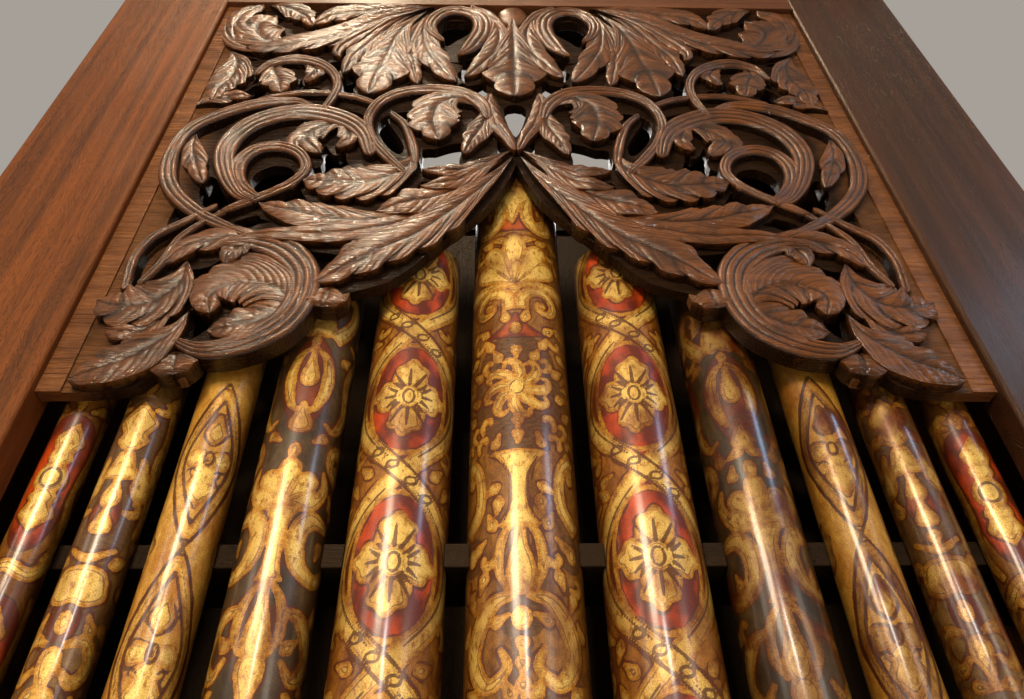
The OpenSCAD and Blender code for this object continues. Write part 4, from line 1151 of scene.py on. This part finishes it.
# Carving of the shade. A place is (x, z) in millimetres on the shade's own grid of 655 by
# 1110: x from the middle line outwards, z up from the lower corner. Each leaf has its
# spine from root to tip, its widths along it, how many lobes it has, on which sides (0 is
# both, 1 the left and -1 the right of its growth), and how high it lies over the others.
LEAVES = (
    # Fan of the upper volute, from the middle outwards
    ([(84, 1096), (44, 1050), (30, 980), (40, 900), (72, 838), (102, 797)],
     (26, 34, 44, 52, 40, 12), 3, -1, 3),
    ([(150, 1104), (190, 1050), (196, 980), (180, 900), (150, 830), (118, 778)],
     (20, 30, 40, 56, 50, 14), 3, 0, 4),
    ([(190, 1080), (214, 1010), (222, 940), (214, 860), (196, 770)], (14, 26, 32, 38, 12), 3, 0, 1),
    ([(196, 1088), (234, 1020), (256, 940), (268, 850), (290, 726)], (16, 44, 72, 104, 30), 4, 0, 5),
    ([(214, 1092), (262, 1030), (304, 950), (334, 876), (350, 808)], (14, 34, 46, 44, 12), 3, 0, 2),
    ([(214, 1100), (290, 1020), (342, 950), (372, 900), (362, 870)], (14, 30, 40, 34, 10), 2, -1, 3),
    ([(190, 1106), (280, 1050), (356, 985), (420, 940), (500, 905), (566, 900)],
     (20, 50, 64, 66, 56, 16), 5, -1, 6),
    ([(180, 1110), (260, 1098), (330, 1080), (400, 1052), (444, 1012)], (16, 44, 62, 60, 12), 4, -1, 4),
    ([(560, 1112), (520, 1092), (480, 1062), (440, 1004)], (40, 60, 50, 10), 3, 0, 5),
    # Corner curl
    ([(440, 914), (520, 902), (584, 926), (612, 990), (606, 1060), (570, 1104)],
     (20, 40, 48, 44, 44, 30), 2, -1, 2),
    ([(470, 930), (520, 934), (556, 970), (560, 1010), (530, 1050)], (40, 80, 96, 90, 12), 3, -1, 3),
    # Small upper ring and the corner beside it
    ([(480, 850), (492, 820), (476, 780), (462, 730)], (30, 58, 62, 14), 3, 0, 4),
    ([(440, 850), (410, 826), (408, 796), (424, 776)], (20, 36, 34, 10), 2, -1, 3),
    ([(600, 900), (574, 850), (572, 800), (586, 740), (590, 700)], (30, 62, 66, 54, 14), 4, 0, 3),
    ([(620, 690), (596, 704), (556, 716), (516, 716)], (16, 34, 34, 8), 2, 1, 2),
    # Inner ring, its head and the leaves down to the arch
    ([(70, 690), (110, 716), (146, 694), (156, 640), (142, 570)], (40, 66, 84, 84, 18), 4, 0, 6),
    ([(66, 700), (56, 650), (72, 600), (96, 530)], (30, 44, 40, 10), 3, 1, 3),
    ([(48, 744), (52, 700), (40, 640), (16, 578), (2, 540)], (16, 28, 28, 22, 8), 0, 0, 4),
    # Round the large scroll
    ([(300, 640), (360, 616), (390, 576), (352, 530)], (24, 50, 56, 10), 3, 0, 3),
    ([(340, 650), (316, 610), (308, 570), (330, 548)], (20, 36, 36, 8), 2, 0, 4),
    ([(596, 600), (584, 540), (560, 480), (540, 440)], (20, 40, 36, 10), 2, 0, 2),
    ([(180, 548), (196, 490), (250, 448), (312, 440), (372, 450)], (24, 56, 80, 76, 18), 5, 0, 5),
    # Leaves along the arch
    ([(6, 530), (40, 466), (96, 390), (160, 318), (236, 258), (312, 196)],
     (18, 40, 56, 66, 62, 16), 5, -1, 5),
    ([(10, 548), (60, 500), (110, 478), (168, 482)], (14, 30, 34, 8), 3, 1, 4),
    ([(24, 520), (90, 462), (130, 440), (168, 434)], (16, 36, 36, 8), 2, 1, 5),
    ([(60, 470), (120, 420), (180, 392), (236, 366)], (20, 50, 62, 12), 3, 1, 4),
    ([(170, 360), (250, 346), (320, 352), (380, 366), (434, 386)], (20, 44, 56, 52, 10), 4, 1, 4),
    ([(150, 360), (220, 330), (300, 312), (380, 306), (446, 304)], (18, 34, 36, 26, 14), 0, 0, 5),
    ([(190, 300), (236, 292), (262, 276), (284, 250)], (16, 34, 30, 8), 2, 1, 3),
    # Lower scroll
    ([(330, 200), (352, 214), (420, 226), (470, 200), (504, 186)], (40, 70, 66, 40, 10), 3, 1, 2),
    ([(330, 150), (372, 190), (424, 196), (460, 168), (452, 132)], (40, 80, 84, 60, 14), 5, -1, 5),
    ([(334, 176), (356, 142), (396, 116), (448, 100)], (50, 76, 60, 12), 3, 1, 2),
    ([(400, 306), (450, 306), (500, 290), (530, 262), (548, 236)], (20, 40, 44, 32, 10), 2, -1, 5),
    ([(400, 300), (440, 284), (450, 262), (456, 236)], (20, 40, 40, 8), 2, 0, 4),
    # Leaves of the lower corner
    ([(516, 250), (514, 200), (540, 160), (584, 146), (622, 158)], (30, 60, 80, 74, 20), 4, 0, 5),
    ([(506, 150), (530, 110), (562, 96), (594, 104)], (20, 40, 36, 8), 2, 0, 3),
    ([(484, 140), (496, 96), (540, 52), (574, 28), (610, 10)], (20, 44, 62, 54, 16), 3, 1, 6),
    # Small leaves under the edge
    ([(288, 196), (290, 176), (294, 149)], (44, 58, 34), 1, 0, 1),
    ([(482, 68), (480, 46), (474, 22)], (44, 58, 34), 1, 0, 1),
)

# Each stem has its spine, its widths along it, its grooves and how high it lies
STEMS = (
    # Band round the eye of the upper volute
    ([(150, 940), (176, 980), (182, 1030), (156, 1078), (112, 1086), (76, 1052), (70, 990), (92, 920),
      (118, 880)],
     (10, 26, 30, 34, 36, 38, 40, 38, 10), 2, 5),
    ([(96, 1106), (56, 1076), (36, 1040), (18, 990), (12, 930)], (20, 24, 20, 18, 10), 1, 2),
    # Small upper ring
    ([(376, 650), (360, 700), (354, 756), (372, 810), (410, 846), (460, 858), (504, 836), (524, 790)],
     (14, 18, 18, 20, 26, 32, 22, 10), 2, 6),
    # Thin stem from the ring to the inner ring
    ([(270, 694), (320, 720), (400, 733), (456, 722), (500, 704)], (14, 14, 14, 14, 10), 1, 3),
    # Inner ring
    ([(196, 470), (240, 530), (268, 580), (280, 640), (264, 700), (220, 738), (160, 748), (104, 736),
      (66, 696),
      (52, 640)], (16, 20, 20, 20, 22, 26, 30, 34, 32, 16), 2, 5),
    ([(238, 662), (214, 632), (198, 590), (186, 540), (180, 500)], (14, 16, 18, 20, 14), 1, 3),
    # Large scroll: outer, inner and innermost turn
    ([(436, 306), (480, 330), (530, 362), (578, 410), (606, 460), (618, 530), (606, 604), (560, 654),
      (500, 690),
      (430, 700), (384, 676)], (12, 22, 26, 28, 30, 26, 26, 28, 30, 24, 12), 2, 4),
    ([(262, 520), (282, 590), (322, 636), (390, 662), (456, 650), (506, 606), (524, 540), (508, 470),
      (474, 410),
      (440, 386)], (22, 34, 44, 50, 46, 44, 40, 34, 26, 12), 3, 6),
    ([(436, 396), (478, 440), (492, 492), (474, 536), (434, 550), (392, 530), (372, 486), (388, 444),
      (440, 398),
      (490, 362)], (14, 26, 30, 28, 26, 22, 20, 18, 16, 12), 2, 5),
    ([(380, 440), (430, 412), (476, 376), (508, 340)], (12, 14, 14, 10), 1, 3),
    # Thin stems beside the lower scroll
    ([(500, 380), (548, 334), (584, 300), (598, 250), (590, 180)], (10, 14, 16, 16, 14), 1, 4),
    ([(510, 340), (540, 296), (552, 240), (572, 190)], (10, 14, 16, 12), 1, 5),
    # Lower scroll
    ([(470, 286), (420, 292), (370, 272), (334, 226), (328, 166), (350, 112), (400, 76), (450, 66),
      (494, 84)],
     (14, 40, 50, 48, 46, 44, 40, 30, 10), 3, 4),
)


def place_along(spine, share):
    """Places at shares of a spine's length, and the unit vectors to the left there."""
    line = smooth_line(spine, 8)
    at, left = along(line)
    place = np.stack([np.interp(share, at, line[:, k]) for k in (0, 1)], axis=-1)
    side = np.stack([np.interp(share, at, left[:, k]) for k in (0, 1)], axis=-1)
    return place, side / (np.linalg.norm(side, axis=-1, keepdims=True) + 1e-9)


def leaf_surface(spine, widths, lobes, sides, s, t):
    """Where the point at share s of a leaf's length and t across it lies, its height and
    how open it lies to the light. Its flutes rake forward, its lobes are notched, its vein
    is sunk and its tip curls."""
    far = np.abs(t)
    rake = 0.4 if lobes else 0.15
    a = s + rake * far ** 1.25 * (1 - s)
    place, side = place_along(spine, a)
    half = np.interp(a, np.linspace(0, 1, len(widths)), widths) * LEAF_FULLNESS / 2
    half = half * np.sqrt(np.clip((1 - a) / 0.06, 0, 1))
    lobed = np.ones_like(t) if sides == 0 else (np.sign(t) == sides) * 1.0
    phase = np.abs(np.sin(np.pi * lobes * s)) if lobes else np.ones_like(s)
    notch = 1 - (1 - phase ** 0.5) * lobed
    reach = half * (1 - 0.4 * (1 - notch) * far ** 2.5)
    flutes = np.abs(np.cos(np.pi * 3 * max(lobes, 2) * s + 2.2 * t * (1 - s))) ** 0.7
    crown = np.sqrt(np.clip(1 - 0.85 * far ** 2.6, 0, 1))
    rib = np.exp(-(t / 0.11) ** 2)
    height = 0.28 + 0.5 * crown + 0.26 * (notch ** 1.2 - 0.6) * far ** 0.6
    height = height + 0.12 * flutes * (1 - rib) - 0.2 * rib
    rise = 0.5 + 0.5 * np.clip(a / 0.25, 0, 1)
    curl = 0.34 * np.sin(np.pi * np.clip((a - 0.55) / 0.45, 0, 1)) ** 2
    light = np.minimum(np.minimum(notch, 0.35 + 0.65 * flutes), 1 - 0.8 * rib)
    return place + side * (t * reach)[..., None], height * rise + curl, light


def stem_surface(spine, widths, grooves, s, t):
    """The same for a rounded stem with grooves along it."""
    place, side = place_along(spine, s)
    half = np.interp(s, np.linspace(0, 1, len(widths)), widths) * STEM_FULLNESS / 2
    half = half * np.sqrt(np.clip(np.minimum(s, 1 - s) / 0.02, 0, 1))
    ridge = np.abs(np.cos(np.pi * (grooves + 1) * (t + 1) / 2 + np.pi / 2)) ** 0.6
    crown = np.sqrt(np.clip(1 - 0.85 * t ** 2, 0, 1))
    height = 0.25 + 0.5 * crown + 0.3 * ridge
    return place + side * (t * half)[..., None], height, ridge


def bent_strip(surface, rows, columns, lift, side):
    """A closed strip of carving: a sheet bent to its surface, with walls down to its back."""
    strip = bmesh.new()
    # The hollow layer holds how open each point lies to the light, for the painted shade.
    hollow = strip.verts.layers.float.new("hollow")
    bmesh.ops.create_grid(strip, x_segments=columns, y_segments=rows, size=1)
    flat = np.array([v.co for v in strip.verts])
    places, heights, open_shares = surface((flat[:, 1] + 1) / 2, flat[:, 0])
    for vert, (x, z), height, openness in zip(strip.verts, places, heights, open_shares):
        rise = FOOT_OF_RELIEF + LIFT_STEP * lift + RELIEF * height
        vert.co = (side * x * HALF_OPENING / GRID_WIDTH, GROUND_FRONT - rise,
                   SPRING + z * SHADE_HEIGHT / GRID_HEIGHT)
        vert[hollow] = openness
    bmesh.ops.remove_doubles(strip, verts=strip.verts, dist=0.02 * MM)
    for face in strip.faces:
        face.smooth = True
    rim = [e for e in strip.edges if e.is_boundary]
    made = bmesh.ops.extrude_edge_only(strip, edges=rim)["geom"]
    # The walls take the wall shade value, so they are painted dark as shade.
    for vert in (v for v in made if isinstance(v, bmesh.types.BMVert)):
        vert.co.y = GROUND_FRONT + BACK_OF_CARVING
        vert[hollow] = WALL_SHADE
    bmesh.ops.edgeloop_fill(strip, edges=[e for e in made if isinstance(e, bmesh.types.BMEdge)
                                          and e.is_boundary])
    bmesh.ops.recalc_face_normals(strip, faces=strip.faces)
    for edge in rim:
        edge.smooth = False
    return strip


def leaf_strip(leaf_data, side):
    """One carved leaf, on the left (-1) or right (1) half of the shade."""
    *shape, lift = leaf_data
    rows = 18 * max(shape[2], 2) + 8
    return bent_strip(lambda s, t: leaf_surface(*shape, s, t), rows, 16, lift, side)


def stem_strip(stem_data, side):
    """One carved stem, on the left (-1) or right (1) half of the shade."""
    *shape, lift = stem_data
    rows, columns = 12 * (len(shape[0]) - 1), 5 * shape[2] + 5
    return bent_strip(lambda s, t: stem_surface(*shape, s, t), rows, columns, lift, side)


def carved_strips(name, strip, table, node):
    """The leaves or the stems carved on both halves of the shade."""
    bm = bmesh.new()
    bm.verts.layers.float.new("hollow")
    for side in (-1, 1):
        for shape in table:
            add_into(bm, strip(shape, side))
    return finished_piece(name, bm, [CARVED_OAK], "oak_carved", node)


def carved_middle():
    """The pendant leaf on the middle line and the egg over it."""
    bm = bmesh.new()
    bm.verts.layers.float.new("hollow")
    add_into(bm, leaf_strip(MIDDLE_LEAF, 1))
    egg = bmesh.new()
    hollow = egg.verts.layers.float.new("hollow")
    bmesh.ops.create_uvsphere(egg, u_segments=28, v_segments=18, radius=1)
    bmesh.ops.scale(egg, vec=EGG_HALVES, verts=egg.verts)
    bmesh.ops.translate(egg, vec=(0, GROUND_FRONT, SPRING + EGG_HEIGHT), verts=egg.verts)
    # The egg lies fully open to the light, so it gets no painted shade.
    for vert in egg.verts:
        vert[hollow] = 1.0
    for face in egg.faces:
        face.smooth = True
    add_into(bm, egg)
    return finished_piece("carved_middle_leaf", bm, [CARVED_OAK], "oak_carved", "shade_middle_leaf")


def margin_faces(bm):
    """Gives the plain margins beside the posts the second material."""
    for face in bm.faces:
        if abs(face.calc_center_median().x) > HALF_OPENING - MARGIN:
            face.material_index = 1


def carved_shade():
    """The pierced ground and the small leaves under its edge, with all the carving on them."""
    for node in ("shade_left", "shade_right", "shade_small_leaves"):
        bm = welded_copy(node)
        soften_edges(bm, GROUND_EASE)
        margin_faces(bm)
        face_wood = TAB_OAK if node == "shade_small_leaves" else SHADED_GROUND_OAK
        finished_piece(node + "_carved", bm, [face_wood, MARGIN_OAK], "oak_carved", node)
    carved_strips("carved_stems", stem_strip, STEMS, "shade_stems")
    carved_strips("carved_leaves", leaf_strip, LEAVES, "shade_leaves")
    carved_middle()
# Wood and paint of each piece
# The two posts are one oak: the left one is made lighter as painted light and the right one darker as painted
# shade.
LIT_POST_LEFT_OAK = oak("oak_post_left_lit", seen(130, 68, 26), seen(60, 27, 9), 2, 0.12, 0.0)
SHADED_POST_RIGHT_OAK = oak("oak_post_right_shaded", seen(74, 40, 20), seen(32, 17, 10), 2, 0.0, 0.1)
FRAME_LIGHT, FRAME_DARK = seen(128, 76, 44), seen(70, 36, 20)
FRAME_OAK_X = oak("oak_frame_across", FRAME_LIGHT, FRAME_DARK, 0)
FRAME_OAK_Y = oak("oak_frame_deep", FRAME_LIGHT, FRAME_DARK, 1)
FRAME_OAK_Z = oak("oak_frame_upright", FRAME_LIGHT, FRAME_DARK, 2)
# The wood inside the case is near black: painted shade of the closed case.
SHADED_INNER_OAK_X = oak("oak_inner_shaded_across", seen(34, 24, 16), seen(19, 13, 9), 0, 0.3, 0.0)
SHADED_INNER_OAK_Z = oak("oak_inner_shaded_upright", seen(44, 31, 21), seen(24, 17, 12), 2, 0.2, 0.0)
CARVED_OAK = carved_oak("oak_carved", seen(134, 76, 28), seen(72, 38, 13), seen(17, 9, 5))
# The pierced ground is darkened as painted shade of its deep recesses; near the posts it takes the lit rim
# colour.
SHADED_GROUND_OAK = carved_oak("oak_ground_shaded", seen(56, 35, 20), seen(27, 17, 10), seen(12, 7, 5),
                        shaded_hollows=False, rim=seen(112, 72, 42), gloss=0.2, ribs=3.0)
TAB_OAK = carved_oak("oak_small_leaf", seen(146, 96, 54), seen(86, 54, 30), seen(34, 20, 11),
                     shaded_hollows=False)
MARGIN_OAK = carved_oak("oak_margin", seen(150, 96, 56), seen(96, 56, 31), seen(72, 43, 26),
                        shaded_hollows=False, gloss=0.4, ribs=4.0)

# Boards: their wood, slot, the rounding of their arrises in millimetres, and their nodes
BOARDS = (
    (LIT_POST_LEFT_OAK, "oak_posts", 2.5, ("post_left",)),
    (SHADED_POST_RIGHT_OAK, "oak_posts", 2.5, ("post_right",)),
    (FRAME_OAK_X, "oak_frame", 1.5, ("base_rail_front", "impost_moulding", "head_rail",
                                    "cornice_front", "base_rail_back")),
    (FRAME_OAK_Y, "oak_frame", 1.5, ("cornice_left", "cornice_right", "base_rail_left",
                                    "base_rail_right", "side_rails_left", "side_rails_right")),
    (FRAME_OAK_Z, "oak_frame", 1.5, ("back_post_left", "back_post_right", "side_panels_left",
                                    "side_panels_right")),
    (SHADED_INNER_OAK_X, "oak_inner", 1.5, ("toe_board", "toe_rail", "rack_board", "rack_brackets",
                                    "roof_boards", "back_top_rails")),
    (SHADED_INNER_OAK_Z, "oak_inner", 1.5, ("back_stile_left", "back_stile_right", "back_panel_left",
                                    "back_panel_middle", "back_panel_right")),
)

# Paint of each pair of pipes from the middle outwards: its slot, how far its skin runs from
# the front line to the side, then ground, wash, dark field and red field
OCHRE, DEEP_OCHRE = seen(178, 118, 36), seen(136, 80, 22)
UMBER, DARK_UMBER = seen(92, 66, 34), seen(58, 40, 26)
VERMILION = seen(226, 84, 22)
PIPE_PAINTS = (
    ("pipe_centre", 118 * MM, seen(166, 112, 38), seen(120, 74, 26), seen(62, 42, 26), seen(206, 98, 30)),
    ("pipe_second", 104 * MM, OCHRE, DEEP_OCHRE, seen(104, 52, 22), VERMILION),
    ("pipe_third", 85 * MM, seen(96, 74, 40), seen(76, 54, 30), DARK_UMBER, seen(150, 74, 28)),
    ("pipe_fourth", 61 * MM, seen(228, 178, 76), seen(196, 138, 50), UMBER, VERMILION),
    ("pipe_fifth", 55 * MM, seen(152, 114, 58), seen(118, 84, 42), seen(88, 58, 32), seen(176, 86, 30)),
    ("pipe_outer", 47 * MM, seen(170, 114, 40), seen(130, 80, 28), DARK_UMBER, VERMILION),
)

# How deeply the gold of each pipe lies under brown glaze. The larger amounts on the right-hand pipes stand
# for the shade that falls there: painted shade.
GLAZE_AND_SHADE = {1: 0.42, 2: 0.3, 3: 0.4, 4: 0.7, 5: 0.7, 6: 0.7, 7: 0.8, 8: 1.05, 9: 1.0, 10: 0.98, 11: 0.75}

# Lamps: where each stands, what it looks at, its width, its power and its colour
LAMPS = {
    "key_lamp": ((-0.8, -1.6, 5.8), (0, -0.2, 2.3), 0.35, 95, (1, 0.84, 0.6)),
    "front_lamp": ((-0.9, -2.7, 2.8), (0, -0.2, 1.8), 0.6, 56, (1, 0.86, 0.64)),
    "side_lamp": ((-2.9, -2.7, 3.0), (0, 0, 1.9), 0.9, 13.5, (1, 0.86, 0.68)),
    "fill_lamp": ((2.6, -3.2, 2.4), (0, 0, 1.8), 1.0, 20, (1, 0.9, 0.76)),
    "room_lamp": ((0, 4, 6), (0, 0, 0), 4, 420, (1, 0.97, 0.92)),
    "streak_lamp": ((-0.1, -3.2, 2.5), (0, 0, 1.6), 0.16, 18, (1, 0.95, 0.88)),
    "cool_lamp": ((2.4, -1.9, 3.4), (0.8, -0.2, 1.9), 0.5, 13, (0.5, 0.7, 1.0)),
}
FLOOR_HALF = 14
WORLD_LIGHT = 0.2

# The photograph's view: where the camera stands, and its turn, pitch and roll in degrees
CAMERA_PLACE = (-0.0379, -1.030, 1.243)
CAMERA_TURN, CAMERA_PITCH, CAMERA_ROLL = -1.707, 40.33, -0.986
CAMERA_LENS, CAMERA_SENSOR = 26.02, 36


def make_pipes():
    """The eleven front pipes."""
    # The inside metal is far darker than the rim of the same metal: painted shade of the pipe's inside.
    inside = bare_metal("pipe_inside_shaded", seen(60, 52, 44), seen(30, 26, 22), 0.6)
    rim = bare_metal("pipe_rim", seen(150, 140, 120), seen(96, 86, 70), 0.4)
    for number, glaze_and_shade in GLAZE_AND_SHADE.items():
        slot, *paints = PIPE_PAINTS[abs(number - 6)]
        painted = painted_metal(f"painted_{number:02d}", glaze_and_shade, *paints)
        make_pipe(number, pipe_art(number), [painted, inside, rim], slot)


def make_boards():
    """Every plain board of the case."""
    for material, slot, width, nodes in BOARDS:
        for node in nodes:
            board_piece(node, width * MM, material, slot)


def area_lamp(name, place, aim, size, power, colour):
    """A soft square lamp that looks at a point."""
    lamp = bpy.data.lights.new(name, "AREA")
    lamp.energy = power
    lamp.color = colour
    lamp.shape = "SQUARE"
    lamp.size = size
    holder = bpy.data.objects.new(name, lamp)
    holder.location = place
    holder.rotation_euler = (Vector(aim) - Vector(place)).to_track_quat("-Z", "Y").to_euler()
    bpy.context.collection.objects.link(holder)


def make_floor():
    """A plain pale floor."""
    bm = bmesh.new()
    bmesh.ops.create_grid(bm, x_segments=1, y_segments=1, size=FLOOR_HALF)
    mesh = bpy.data.meshes.new("floor")
    bm.to_mesh(mesh)
    bm.free()
    floor = bpy.data.objects.new("floor", mesh)
    bpy.context.collection.objects.link(floor)
    material, tree, shader = new_material("pale_floor", {"Roughness": 0.7})
    tint = noise(tree, add_node(tree, "TexCoord").outputs["Object"], 3.0, 3)
    tinted = blend_colours(tree, tint, seen(206, 204, 200), seen(216, 214, 210))
    fill_sockets(tree, shader, {"Base Color": tinted})
    mesh.materials.append(material)


def make_world():
    """A dim soft world that is seen, and mirrored in gloss, as a plain pale room."""
    world = bpy.data.worlds.new("studio")
    bpy.context.scene.world = world
    world.use_nodes = True
    tree = world.node_tree
    tree.nodes.clear()
    rays = add_node(tree, "LightPath").outputs
    shown = compute(tree, "MAXIMUM", rays["Is Camera Ray"], rays["Is Transmission Ray"])
    shown = compute(tree, "MAXIMUM", shown, rays["Is Glossy Ray"])
    soft = add_node(tree, "Background", {"Color": seen(206, 196, 184), "Strength": WORLD_LIGHT})
    pale = add_node(tree, "Background", {"Color": seen(166, 160, 152), "Strength": 1.0})
    mixed = add_node(tree, "MixShader", {0: shown, 1: soft.outputs[0], 2: pale.outputs[0]})
    add_node(tree, "OutputWorld", {"Surface": mixed.outputs[0]})


def make_camera():
    """The photograph's view: close below the shade, looking up between the posts."""
    camera = bpy.data.cameras.new("camera")
    camera.sensor_width = CAMERA_SENSOR
    camera.lens = CAMERA_LENS
    holder = bpy.data.objects.new("camera", camera)
    turn = Matrix.Rotation(math.radians(CAMERA_TURN), 4, "Z")
    tilt = Matrix.Rotation(math.radians(90 + CAMERA_PITCH), 4, "X")
    roll = Matrix.Rotation(math.radians(CAMERA_ROLL), 4, "Z")
    holder.matrix_world = Matrix.Translation(CAMERA_PLACE) @ turn @ tilt @ roll
    bpy.context.collection.objects.link(holder)
    bpy.context.scene.camera = holder


make_camera()
make_floor()
make_world()
for lamp_name, lamp_facts in LAMPS.items():
    area_lamp(lamp_name, *lamp_facts)
make_boards()
make_pipes()
carved_shade()
bpy.context.scene.view_settings.view_transform = "Standard"
